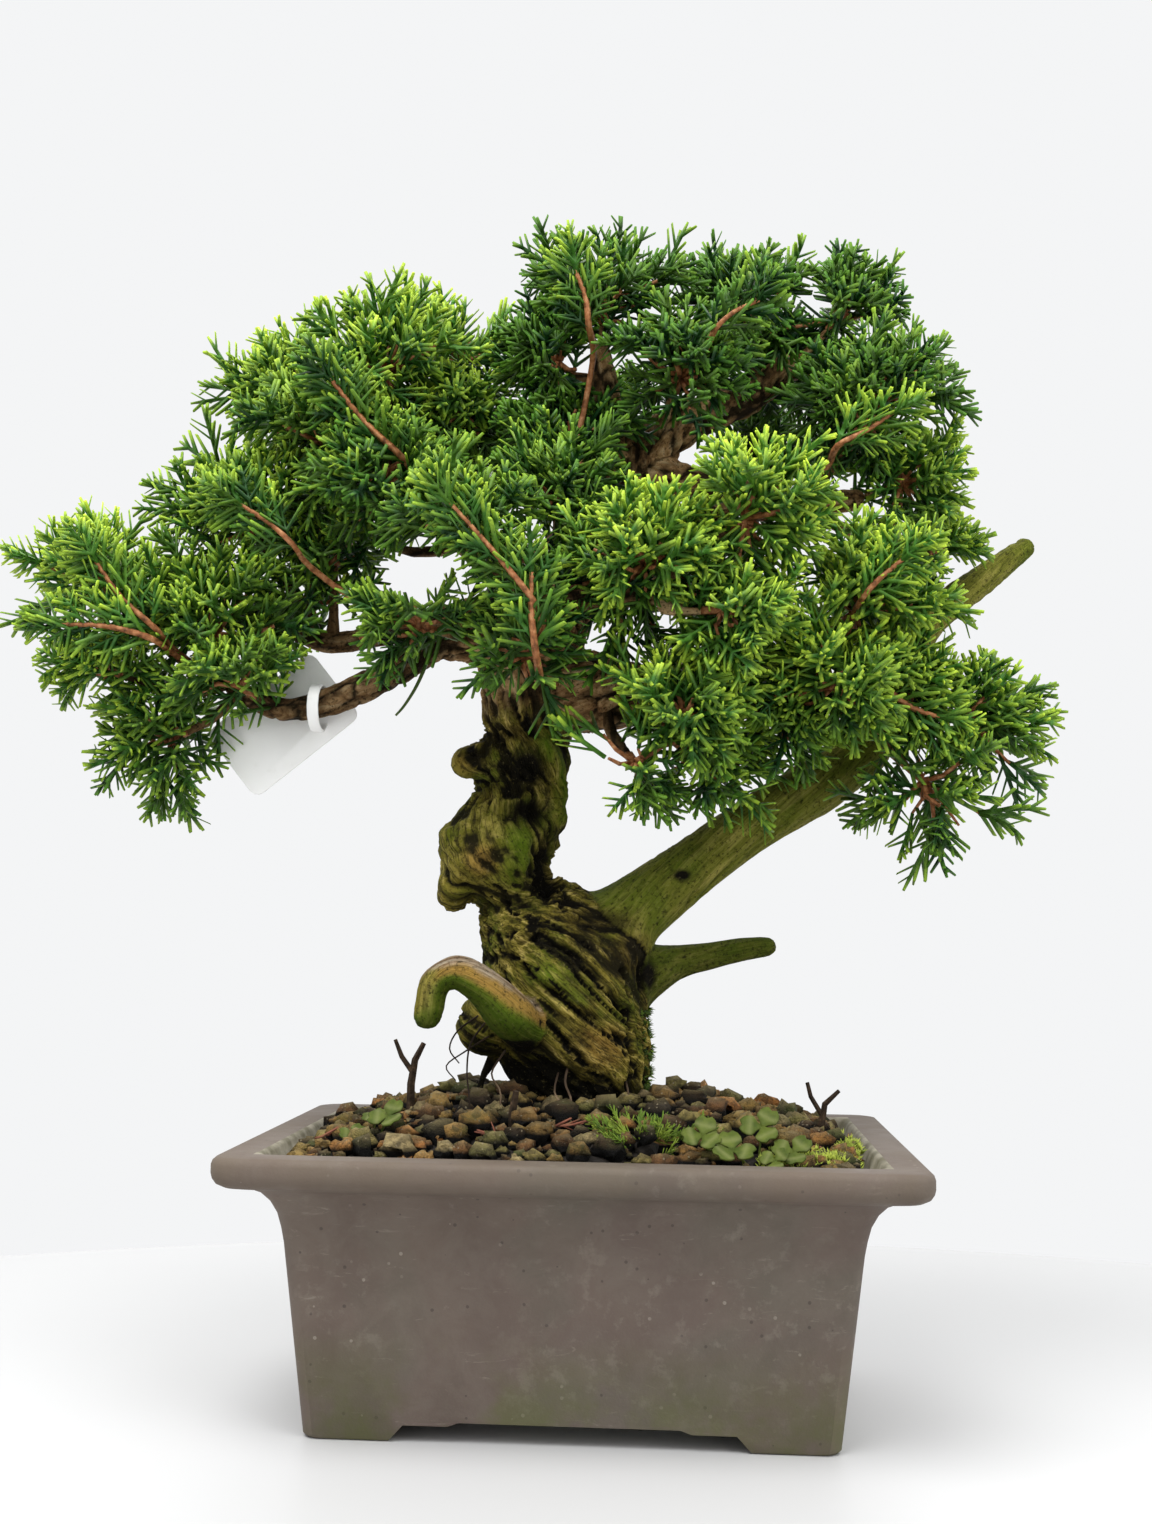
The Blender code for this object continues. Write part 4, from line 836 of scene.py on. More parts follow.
relief = np.where(hook, fibres * 0.3 + 1.8 * knee - 1.2 * eased(out[:, 2], 0.35, 0.9), relief)
relief *= eased(points[:, 2], 60, 66)
points += out * relief[:, None]
wood.data.vertices.foreach_set("co", in_metres(points).astype(np.float32).ravel())
wood.data.update()
wood.data.polygons.foreach_set("use_smooth", np.ones(len(wood.data.polygons), bool))
# The trunk darkens towards its foot at the soil, higher up on the left. Painted shade: the bark of the left boughs is
# painted darker, and the clefts are painted dark.
darker_low = eased(points[:, 2] + 0.25 * points[:, 0] + ragged * 5, 100, 88)
shaded = 0.42 * bark * eased(-points[:, 0], 38, 56)
dark = np.maximum(np.maximum(dark, shaded), np.maximum(cleft * apart, darker_low))
for label, data in (
    ("valley", valley), ("bark", bark), ("stub", stub), ("burl", burl), ("pale", pale), ("grain", grain),
    ("shade_and_stains", np.stack([dark, green, ochre], 1)),
):
    store(wood.data, label, data)

skin = Look("weathered_juniper", 0.8, 0.08)
lie = skin.stored("grain", "Vector")
valleys, stubs, burls = (skin.stored(label) for label in ("valley", "stub", "burl"))
darks, greens, ochres = skin.parts(skin.stored("shade_and_stains", "Vector"))
thread = skin.cloudy(1.0, 6, 0.6, 0.6, skin.mapped(lie, Scale=(0.5, 0.5, 0.045)))
threads = skin.cloudy(1.0, 5, 0.6, 0.0, skin.mapped(lie, Scale=(2.1, 2.1, 0.11)))
blotch = skin.patches((190, 7, 0.66, 0.8), 0.30, 0.70, 0.44, 0.70)
thread = skin.blend(burls, thread, blotch)
skin.tone = skin.ramp(thread, [
    (0.28, (0.030, 0.023, 0.008)), (0.42, (0.098, 0.082, 0.012)), (0.53, (0.260, 0.208, 0.035)),
    (0.64, (0.600, 0.470, 0.130)), (0.80, (0.250, 0.165, 0.036)),
])
algae = skin.patches((75, 5, 0.6), 0.47, 0.64, 0.0, 0.75)
skin.over(algae, (0.092, 0.125, 0.010))
skin.over(skin.times(burls, skin.between(blotch, 0.44, 0.66, 0.85, 0.62)), (0.078, 0.092, 0.005))
stub_tone = skin.ramp(thread, [
    (0.30, (0.105, 0.112, 0.014)), (0.5, (0.190, 0.195, 0.028)), (0.70, (0.330, 0.300, 0.070)),
])
stub_tone = skin.blend(skin.patches((38, 4), 0.48, 0.64, 0.0, 0.75), stub_tone, (0.095, 0.140, 0.010))
skin.over(skin.times(stubs, 0.9), stub_tone)
skin.over(skin.times(ochres, 0.8), (0.360, 0.200, 0.048))
skin.over(skin.times(skin.stored("pale"), 0.9), skin.ramp(thread, [
    (0.35, (0.150, 0.090, 0.055)), (0.48, (0.360, 0.275, 0.190)), (0.66, (0.500, 0.430, 0.330)),
]))
skin.over(skin.times(greens, skin.between(thread, 0.3, 0.6, 0.95, 0.7)), (0.088, 0.158, 0.007))
# Painted shade: the low places of the relief are painted near-black.
skin.over(skin.between(valleys, 0.44, 0.66, 0.0, 0.96), (0.009, 0.008, 0.003))
lines = skin.times(skin.between(threads, 0.49, 0.40, 0.0, 0.75), skin.between(stubs, 0.0, 1.0, 1.0, 0.45))
skin.over(skin.times(lines, skin.between(greens, 0.0, 1.0, 1.0, 0.3)), (0.022, 0.017, 0.007))
bark_tone = skin.ramp(skin.cloudy(1.0, 7, 0.65, 0.8, skin.mapped(lie, Scale=(0.25, 0.25, 0.12))), [
    (0.30, (0.045, 0.025, 0.011)), (0.43, (0.270, 0.145, 0.060)), (0.54, (0.540, 0.330, 0.150)),
    (0.66, (0.740, 0.540, 0.290)), (0.78, (0.430, 0.310, 0.165)),
])
# Painted shade in the bark's low places, between the plates.
bark_tone = skin.blend(skin.between(valleys, 0.45, 0.8, 0.0, 0.95), bark_tone, (0.012, 0.008, 0.004))
skin.over(skin.stored("bark"), bark_tone)
specks, _ = with_grit(skin, 620, 0.22, 1900)
skin.over(skin.times(specks, 0.6), (0.020, 0.015, 0.008))
# Painted shade from the stored dark values: hollows, creases, clefts, the ring by the crescent, under the hook and on
# the left boughs; the trunk foot and the short stub are darker too.
skin.over(skin.between(darks, 0.12, 0.7), (0.0045, 0.0038, 0.0020))
crumbs = skin.cloudy(800, 7, 0.72)
skin.over(skin.between(crumbs, 0.47, 0.37, 0.0, 0.75), (0.010, 0.008, 0.003))
skin.over(skin.between(crumbs, 0.58, 0.70, 0.0, 0.25), (0.380, 0.320, 0.130))
uneven = skin.sums("ADD", skin.sums("ADD", threads, crumbs), skin.times(thread, 1.5))
skin.done(uneven, 1.0, 0.0010, skin.between(thread, 0.3, 0.7, 0.92, 0.72))
finish_with(wood, skin, "bark", "juniper_wood")

# Foliage: each cloud is a fan of thin red-brown twigs that carry sprigs, and a sprig is a cord of scale leaves
# with shorter cords to each side. Each sprig is painted lighter the further out, up and forward it stands, and darker
# by its cloud's place in the crown, as painted light and shade, so the outer cords end yellow-green and the inner ones
# are dark.
SPRIG_LENGTH = 24.0
CORD = 0.80
SIDE_CORDS = [(4.4, 5.7, (0, 1)), (9.2, 10.4, (2, 0)), (13.8, 14.9, (1, 2)), (18.4, 19.3, (0, 1))]
SHOOT_END, STEM_END, HUB_DEPTH = 1.472, 1.732, 4.2


def choose(piece, kind, test):
    """Selects the faces or points of the piece whose middle and direction pass a test, and returns how many."""
    bpy.ops.mesh.select_mode(type={"faces": "FACE", "verts": "VERT"}[kind])
    bpy.ops.mesh.select_all(action="DESELECT")
    shape = bmesh.from_edit_mesh(piece.data)
    found = 0
    for part in getattr(shape, kind):
        if test(part.calc_center_median() if kind == "faces" else part.co, part.normal):
            part.select_set(True)
            found += 1
    shape.select_flush_mode()
    bmesh.update_edit_mesh(piece.data)
    return found


def sprig_master(name, seed):
    """A sprig standing on its foot: a three-sided cord drawn up in steps, and side cords drawn out of its sides."""
    draw = random.Random(seed)
    sprig = begin(name, bpy.ops.mesh.primitive_circle_add, vertices=3, radius=CORD, fill_type="NGON")
    before = 0.0
    for level in [*sum(([low, high] for low, high, _ in SIDE_CORDS), []), SPRIG_LENGTH]:
        bpy.ops.mesh.extrude_region_move(TRANSFORM_OT_translate={"value": (0, 0, level - before)})
        before = level
    bpy.ops.transform.resize(value=(0.6, 0.6, 1), center_override=(0, 0, SPRIG_LENGTH))
    for low, high, sides in SIDE_CORDS:
        for side in sides:
            angle = math.radians(60 + 120 * ((side + seed) % 3) + 90)
            way = Vector((math.cos(angle), math.sin(angle), 0))
            foot = way * CORD * 0.5 + Vector((0, 0, (low + high) / 2))
            if not choose(sprig, "faces", lambda p, n: (p - foot).length < 0.3 and n.dot(way) > 0.9):
                raise ValueError("no side to draw a cord out of")
            length = (1 - high / 30) * draw.uniform(12.0, 17.0)
            sideways = way.cross(Vector((0, 0, 1))) * draw.uniform(-0.3, 0.3)
            lean = (way * draw.uniform(0.45, 0.75) + sideways + Vector((0, 0, 0.9))).normalized()
            bpy.ops.mesh.extrude_region_move(TRANSFORM_OT_translate={"value": lean * length})
            bpy.ops.transform.resize(value=(0.7, 0.7, 0.7), center_override=foot + lean * length)
    bpy.ops.mesh.select_all(action="SELECT")
    bpy.ops.mesh.normals_make_consistent(inside=False)
    return shape_of(close(sprig))


def twig_shape(line, sides=4):
    """The points and faces of a thin twig through points of x, y, z and radius, in millimetres."""
    spots = []
    for i, (*centre, radius) in enumerate(line):
        along = (Vector(line[min(i + 1, len(line) - 1)][:3]) - Vector(line[max(i - 1, 0)][:3])).normalized()
        side = (along.orthogonal() if i == 0 else side - along * side.dot(along)).normalized()
        across = along.cross(side)
        for k in range(sides):
            angle = 2 * math.pi * k / sides
            spots.append(Vector(centre) + (side * math.cos(angle) + across * math.sin(angle)) * radius)
    faces = [
        (r * sides + k, r * sides + (k + 1) % sides, (r + 1) * sides + (k + 1) % sides, (r + 1) * sides + k)
        for r in range(len(line) - 1) for k in range(sides)
    ]
    faces += [tuple(reversed(range(sides))), tuple(range((len(line) - 1) * sides, len(line) * sides))]
    return np.array(spots, float), faces


sprigs = [sprig_master("sprig", seed) for seed in range(6)]


def spray_bones(name):
    """A cloud's stem end, hub, twigs and shoots, read from the flat three-sided ends of the CAD solid."""
    mesh = frame["nodes"][name].data
    ends = []
    stem = None
    for face in mesh.polygons:
        corners = [mesh.vertices[i].co for i in face.vertices]
        sides = [(corners[i] - corners[i - 1]).length / MM for i in range(3)]
        if max(sides) - min(sides) > 0.04:
            continue
        size = sum(sides) / 3
        middle = (sum(corners, Vector()) / 3 - POT_MIDDLE) / MM
        if abs(size - SHOOT_END) < 0.05:
            ends.append((middle, face.normal.copy()))
        elif abs(size - STEM_END) < 0.05:
            stem = (middle, -face.normal)
    hub = stem[0] + stem[1] * HUB_DEPTH
    twigs = [(tip, way) for tip, way in ends if (tip - hub).cross(way).length < 0.4 and (tip - hub).dot(way) > 0]
    shoots = []
    for tip, way in ends:
        if (tip, way) in twigs:
            continue
        best = None
        for other, along in twigs:
            across = way.cross(along)
            if across.length < 0.05:
                continue
            gap = abs((tip - hub).dot(across.normalized()))
            reach = (hub - tip).cross(way).dot(across) / across.length_squared
            if 2.0 < reach < (other - hub).length and (best is None or gap < best[0]):
                best = (gap, hub + along * reach)
        shoots.append((best[1] if best else tip - way * 12.0, tip))
    return stem, hub, twigs, shoots


CROWN_MIDDLE, CROWN_REACH = (-15, 5, 250), (135, 80, 95)
GAPS_IN_CROWN = [
    (-54, -4, 247, 10), (2, 0, 315, 5), (-6, 0, 313, 6), (27, 2, 289, 5), (-37, -2, 327, 4.5), (70, 5, 338, 4),
    (-40, -3, 241, 4.5), (-40, -3, 223, 4.5), (-50, -3, 193, 12), (-78, -5, 218, 8), (-78, -5, 231, 5),
    (-88, -6, 209, 5),
    (-20, -3, 205, 6), (-27, -3, 200, 6), (-5, -2, 206, 6), (6, -2, 208, 5), (7, 0, 191, 10), (25, 1, 192, 4.5),
    (-15, -1, 259, 4.5), (115, 7, 252, 5), (118, 8, 173, 6), (100, 6, 172, 5), (117, 8, 163, 5), (88, 6, 166, 5),
    (132, 9, 191, 4.5), (75, 5, 176, 4.5), (91, 6, 190, 4.5), (-118, -8, 286, 4.5), (-5, 0, 186, 7), (3, 0, 182, 6),
]
BARE_TWIGS = {
    "left_apron": [((-123, -42, 222), (-140, -47, 241)), ((-124, -44, 219), (-148, -49, 222))],
    "front_low": [((-83, -45, 246), (-98, -49, 257))], "front_left": [((-52, -40, 272), (-73, -48, 294))],
    "front_skirt": [((-12, -67, 226), (-34, -72, 251)), ((-11, -64, 212), (-12, -68, 233))],
    "front_right": [((74, -23, 281), (90, -26, 290))], "heart_front": [((0, -28, 316), (-4, -32, 332))],
    "right_inner": [((87, -22, 209), (103, -24, 200)), ((80, -38, 233), (91, -41, 243))],
    "apex_front": [((37, -37, 311), (50, -40, 319))],
}
SHORTER = {
    "crest_right": 0.82, "left_tip_low": 0.76, "right_high": 0.86, "right_back": 0.80, "right_tip": 0.92,
    "right_drop": 0.95, "skirt_left": 0.95, "back_right_low": 0.9, "apex_right": 0.92,
}
MORE_BRANCHLETS = {
    "shoulder_left": [(-140, -18, 264), (-123, -10, 293)], "left_tip_high": [(-143, -24, 263)],
    "left_heart": [(-128, -26, 258)],
    "right_drop": [(92, -14, 159), (106, -16, 154), (120, -10, 158), (130, -8, 166), (76, -14, 168)],
    "right_tip": [(137, -6, 178), (141, -4, 190)], "skirt_left": [(4, -44, 182), (12, -46, 176)],
    "left_drop": [(-129, -24, 174), (-117, -22, 178), (-118, -23, 168), (-124, -23, 194), (-146, -24, 193),
                  (-141, -24, 184)],
    "crest_left": [(-50, -14, 338)], "right_breast": [(112, -20, 238)], "skirt_low": [(56, -24, 170)],
}
SIGHT_LEAVES = (0.1, 0.35, 0.6, 0.85)
leaf_draw = random.Random(5)
vary = leaf_draw.uniform
eye = Vector(EYE)
windows = [(Vector(middle), radius, 9.0) for *middle, radius in GAPS_IN_CROWN]
for a, b in sum(BARE_TWIGS.values(), []):
    windows += [(Vector(a).lerp(Vector(b), share), 2.8, 1.0) for share in SIGHT_LEAVES]


def keeps_gap(spot):
    """Whether a place leaves the crown's gaps open and the bare twigs in sight. Gaps widen with distance."""
    off = spot - eye
    for middle, radius, deepest in windows:
        line = middle - eye
        share = off.dot(line) / line.length_squared
        if share < deepest and (off - line * share).length < radius * share:
            return False
    return True


def anyway(most):
    """A small step in any direction."""
    return Vector([vary(-most, most) for _ in range(3)])


class Spray:
    """The twigs and sprigs of one cloud as they grow, with the values for their colours."""

    def __init__(self, shade):
        self.shade = shade
        self.shapes, self.places, self.leaf, self.woody = list(sprigs), [], [], []

    def twig(self, line):
        """A bare twig through points of x, y, z and radius."""
        points, faces = twig_shape(line)
        self.shapes.append((points, faces))
        self.places.append((len(self.shapes) - 1, in_metres(points)))
        self.leaf.append(np.tile([0.0, 0.5, leaf_draw.random()], (len(points), 1)))
        self.woody.append(np.ones(len(points)))

    def sprig(self, foot, tip):
        """A sprig from its foot to its tip, rolled and bent at random, unless it stands in a gap or before a twig."""
        if not (keeps_gap(tip) and keeps_gap(foot.lerp(tip, 0.6))):
            return
        number = leaf_draw.randrange(len(sprigs))
        points = sprigs[number][0]
        along = tip - foot
        size = along.length / SPRIG_LENGTH
        along = along.normalized()
        roll = vary(0, 6.28)
        side = along.orthogonal().normalized()
        across = along.cross(side)
        turned = side * math.cos(roll) + across * math.sin(roll)
        across, side = across * math.cos(roll) - side * math.sin(roll), turned
        spread = min(1.1, max(0.92, size)) * vary(0.92, 1.08)
        bend = (Vector((0, 0, 1)) - along * along.z) * vary(0.2, 1.4) + side * vary(-1, 1)
        share = points[:, 2] / SPRIG_LENGTH
        moved = np.array(foot) + np.outer(points[:, 0] * spread, side) + np.outer(points[:, 1] * spread, across)
        moved += np.outer(points[:, 2] * size, along) + np.outer(share * (1 - share) * 2.4, np.array(bend))
        reach = np.linalg.norm(points[:, :2], axis=1)
        tips = np.maximum(eased(share, 0.7, 1.0), eased(reach, 1.6, 4.6) * eased(share, 0.1, 0.75))
        outward = Vector([(a - b) / c for a, b, c in zip(tip, CROWN_MIDDLE, CROWN_REACH)])
        # Painted light and shade: a sprig is lighter the further out, the higher it points and the further forward it
        # stands, darker by its cloud's painted shade, and varies at random.
        light = 0.22 + 0.18 * outward.length + 0.26 * along.z - 0.12 * outward.y - self.shade + vary(-0.30, 0.30)
        light = np.full(len(points), min(1.0, max(0.0, light)))
        self.places.append((number, in_metres(moved)))
        self.leaf.append(np.stack([tips, light, np.full(len(points), leaf_draw.random())], 1))
        self.woody.append(np.zeros(len(points)))

    def branchlet(self, start, way, length, thick):
        """A twig with sprigs all round it, leaning forward, and one sprig that carries it on."""
        side = way.orthogonal().normalized()
        across = way.cross(side)
        sway = side * vary(-1.8, 1.8) + across * vary(-1.8, 1.8)
        bare = max(2.0, length - 15.0)
        halfway, end = start + way * bare * 0.5 + sway, start + way * bare
        self.twig([(*start, thick), (*halfway, thick * 0.8), (*end, thick * 0.55)])
        self.sprig(end, start + way * length)
        angle = vary(0, 6.28)
        travel = 2.0
        while travel < bare + 2.0:
            angle += 2.4 + vary(-0.3, 0.3)
            lean = way * vary(0.95, 1.5) + side * math.cos(angle) + across * math.sin(angle)
            lean = (lean.normalized() + Vector((0, 0, 0.16))).normalized()
            share = min(1.0, travel / bare)
            foot = start + way * travel + sway * (1 - abs(2 * share - 1))
            self.sprig(foot, foot + lean * vary(14.0, 21.0) * min(1.0, 0.6 + length / 60))
            travel += vary(2.8, 4.0)

    def bare_twig(self, hub, near_end, far_end):
        """A twig that comes forward from the hub and shows in front, with sprigs to its sides and round its end."""
        way = (far_end - near_end).normalized()
        sideways = way.cross(eye - near_end).normalized()
        bow = sideways * vary(-1.5, 1.5)
        before = near_end - way * 3.0 + Vector((0, 12, -2))
        behind = hub.lerp(before, 0.5) + Vector((0, 9, -2))
        spots = (hub, behind, before, near_end, near_end.lerp(far_end, 0.5) + bow, far_end)
        self.twig(flowing([(*spot, radius) for spot, radius in zip(spots, (1.2, 1.15, 1.1, 1.0, 0.85, 0.6))], 3))
        reach = (far_end - near_end).length
        for k in range(int(reach / 1.7)):
            side_way = sideways if k % 2 else -sideways
            foot = near_end + way * k * 1.7 + bow * (1 - abs(2 * k * 1.7 / reach - 1))
            lean = way * vary(0.9, 1.5) + side_way + Vector((0, vary(0.0, 0.6), 0.1))
            self.sprig(foot + side_way * 0.4, foot + lean.normalized() * vary(11.0, 17.0))
        for _ in range(4):
            lean = way * 1.6 + anyway(0.7)
            self.sprig(far_end - way, far_end + lean.normalized() * vary(10.0, 15.0))


def shade_of(hub):
    """How much painted shade a cloud gets for its place in the crown."""
    if hub.z > 285 and hub.x > -25:
        return 0.58
    if -75 < hub.x < 12 and hub.y < -20:
        return 0.36
    return 0.10 if hub.z < 205 or (-130 < hub.x < -60 and hub.z < 285) else -0.12


leafy = Look("juniper_scale_leaves", 0.5, 0.2)
tips, light, chance = leafy.parts(leafy.stored("leaf", "Vector"))
scales = leafy.cloudy(850, 3, 0.6)
# The light value blends each green from dark to bright, as painted light and shade; tips turn to the young green.
old_green = leafy.blend(light, (0.005, 0.034, 0.006), (0.072, 0.222, 0.026))
young_green = leafy.blend(light, (0.082, 0.225, 0.016), (0.640, 0.840, 0.060))
leafy.tone = leafy.blend(leafy.between(tips, 0.35, 1.0), old_green, young_green)
leafy.over(leafy.between(chance, 0.2, 1.0, 0.0, 0.4), (0.130, 0.240, 0.018))
leafy.over(leafy.between(scales, 0.5, 0.3, 0.0, 0.5), (0.006, 0.036, 0.006))
leafy.over(leafy.stored("woody"), leafy.ramp(leafy.cloudy(600, 4), [
    (0.3, (0.080, 0.030, 0.012)), (0.5, (0.300, 0.115, 0.042)), (0.7, (0.480, 0.240, 0.110)),
]))
leafy.done(scales, 0.6, 0.0004, leafy.between(scales, 0.3, 0.7, 0.56, 0.38))
bones = {name: spray_bones(name) for name in sorted(n for n in frame["nodes"] if n.startswith("foliage_"))}
for name, (stem, hub, twigs, shoots) in bones.items():
    cloud = name[8:]
    shorter = SHORTER.get(cloud, 1.0)
    twigs = [hub + (tip - hub) * shorter for tip, _ in twigs]
    shoots = [(hub + (foot - hub) * shorter, hub + (tip - hub) * shorter) for foot, tip in shoots]
    spray = Spray(shade_of(hub))
    stem_end, stem_way = stem
    spray.twig([(*(stem_end - stem_way * 1.6), 1.5), (*(stem_end + stem_way * 2.0), 1.35), (*hub, 1.2)])
    ways = [((tip - hub).length, (tip - hub).normalized()) for tip in twigs]
    for other, (_, other_hub, _, _) in bones.items():
        off = other_hub - hub
        if other != name and off.length < 66 and leaf_draw.random() < 0.85:
            way = (off.normalized() + anyway(0.25)).normalized()
            if all(way.angle(known) > math.radians(28) for _, known in ways):
                ways.append((min(34.0, off.length * vary(0.5, 0.62)), way))
    airy = hub.z < 196
    for i, (first_reach, first_way) in enumerate([] if airy else ways[:len(twigs)]):
        for second_reach, second_way in ways[i + 1:len(twigs)]:
            middle_way = first_way.lerp(second_way, vary(0.38, 0.62)).normalized()
            if first_way.angle(second_way) < math.radians(118) and all(
                    middle_way.angle(known) > math.radians(22) for _, known in ways):
                ways.append(((first_reach + second_reach) * vary(0.40, 0.5), middle_way))
    for target in MORE_BRANCHLETS.get(cloud, ()):
        ways.append(((Vector(target) - hub).length, (Vector(target) - hub).normalized()))
    for length, way in ways:
        spray.branchlet(hub + way * 0.6, way, length - 0.6, vary(0.85, 1.2))
    for foot, tip in shoots:
        spray.sprig(foot, tip)
    for near_end, far_end in BARE_TWIGS.get(cloud, ()):
        spray.bare_twig(hub, Vector(near_end), Vector(far_end))
    side = stem_way.orthogonal().normalized()
    across = stem_way.cross(side)
    for step in range(6):
        angle = step * 2.4 + vary(-0.4, 0.4)
        foot = stem_end - stem_way * step * 2.4
        lean = side * math.cos(angle) + across * math.sin(angle) + stem_way * 0.5 + Vector((0, 0, 0.3))
        spray.sprig(foot, foot + lean.normalized() * vary(13.0, 18.0))
    values = {"leaf": np.concatenate(spray.leaf), "woody": np.concatenate(spray.woody)}
    finish_with(copies("sprigs_" + cloud, spray.shapes, spray.places, values), leafy, "foliage", name)
CORD_DOWN = [
    (-47.4, -15, 226.5, 0.8), (-46.6, -22, 222.5, 0.75), (-46.8, -24, 216, 0.7), (-49.6, -24.5, 208.5, 0.6),
    (-53, -24.8, 202.6, 0.5), (-55.6, -25, 199.4, 0.4),
]
points, faces = twig_shape(flowing(CORD_DOWN, 4))
# The hanging cord takes a fixed low painted light.
finish_with(copies("hanging_cord", [(points, faces)], [(0, in_metres(points))], {
    "leaf": np.tile([0.15, 0.30, 0.2], (len(points), 1)), "woody": np.full(len(points), 0.1),
}), leafy, "foliage")

# Plant tag: a blank card of white plastic behind the lowest left bough, held by a cloudy plastic strap that is
# looped round the bough and pressed shut. Its edges are worn round, and rain has left it a little dull.
plastic = Look("white_tag_plastic", 0.38, 0.4)
plastic.tone = plastic.ramp(plastic.cloudy(60), [(0.3, (0.92, 0.92, 0.90)), (0.7, (0.98, 0.98, 0.97))])
stained = plastic.patches((160, 6), 0.6, 0.75, 0.0, 0.2)
plastic.over(stained, (0.42, 0.43, 0.34))
plastic.done(plastic.cloudy(900), 0.1, 0.0002)
tag = joined_copy("plant_tag", "label_tag")
soften(tag, 0.22, 2, 50)
finish_with(tag, plastic, "tag_plastic", "label_tag")

# Clover: weeds that have come up in the soil. Each leaf is three notched leaflets, cupped along the middle,
# with a paler band across, on a thin stalk from a root that goes down between the grains.
CLOVERS = {
    "right": ((50, -47), [
        (35, -51, 8, 6), (43, -55, 6, 6.4), (51, -46, 9, 6.2), (59, -52, 6.5, 6), (38, -45, 5, 4.6),
        (54, -56, 3.5, 4.4),
    ]),
    "left": ((-57, -34), [(-53, -36, 7, 6), (-62, -38, 4.5, 4.6), (-58, -28, 5.5, 4)]),
}
leaflet = begin(
    "leaflet", bpy.ops.mesh.primitive_circle_add, vertices=14, radius=0.5, fill_type="NGON", location=(0, 0.5, 0),
)
choose(leaflet, "verts", lambda p, n: p.y > 0.49)
bpy.ops.transform.translate(value=(0, -0.16, 0))
choose(leaflet, "verts", lambda p, n: p.y < -0.3)
bpy.ops.transform.resize(value=(0.5, 1, 1), center_override=(0, 0, 0))
bpy.ops.mesh.select_all(action="SELECT")
bpy.ops.mesh.inset(thickness=0.2, depth=-0.05)
close(leaflet)
modified(leaflet, "SOLIDIFY", thickness=0.08)
leaflet = shape_of(leaflet)


def soil_top(x, y):
    """The height of the CAD soil at a place, in millimetres."""
    spot = soil_surface.ray_cast(here(x, y, 120), Vector((0, 0, -1)))[0]
    return (spot.z / MM) if spot else 74.0


herb = Look("clover_leaf", 0.6, 0.12)
band = herb.stored("band")
herb.tone = herb.ramp(herb.cloudy(260, 4), [(0.35, (0.046, 0.068, 0.010)), (0.65, (0.094, 0.120, 0.020))])
pale_band = herb.times(herb.between(band, 0.32, 0.48), herb.between(band, 0.72, 0.52))
herb.over(herb.times(pale_band, 0.5), (0.170, 0.185, 0.065))
herb.done(herb.cloudy(900), 0.4, 0.0003)
for side, ((root_x, root_y), leaves) in CLOVERS.items():
    ground = soil_top(root_x, root_y)
    shapes, places, bands = [leaflet], [], []
    stalks = [[(root_x, root_y, ground - 4, 0.9), (root_x, root_y, ground + 3.0, 0.7)]]
    for lx, ly, rise, size in leaves:
        top = Vector((lx, ly, soil_top(lx, ly) + rise))
        halfway = Vector((root_x, root_y, ground + 3)).lerp(top, 0.5) + Vector((0, 0, 1.2))
        stalks.append([(root_x, root_y, ground + 2.5, 0.5), (*halfway, 0.42), (*top, 0.36)])
        lean = Matrix.Rotation(vary(0.45, 0.85), 3, "X") @ Matrix.Rotation(vary(-0.3, 0.3), 3, "Y")
        lean = lean @ Matrix.Rotation(vary(0, 2), 3, "Z")
        for third in range(3):
            around = Matrix.Rotation(math.radians(120 * third), 3, "Z") @ Matrix.Rotation(0.22, 3, "X")
            places.append((0, in_metres(set_down(leaflet[0], size, lean @ around, top))))
            bands.append(leaflet[0][:, 1])
    for line in stalks:
        shapes.append(twig_shape(line))
        places.append((len(shapes) - 1, in_metres(shapes[-1][0])))
        bands.append(np.zeros(len(shapes[-1][0])))
    plant = copies("clover_plant_" + side, shapes, places, {"band": np.concatenate(bands)})
    finish_with(plant, herb, "clover", "clover_" + side)

# Dead twigs: bits of old wood that stick up out of the soil, dry, dark and forked.
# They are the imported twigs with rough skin.
stick = mottled_look("dry_twig", 0.9, 0.2, (400, 5), [
    (0.3, (0.010, 0.007, 0.004)), (0.6, (0.045, 0.028, 0.016)), (0.75, (0.13, 0.08, 0.045)),
], (1200,), 0.8, 0.0006)
for name in ("twig_left", "twig_right", "twig_front"):
    for slot in frame["nodes"][name].material_slots:
        slot.material = stick.material

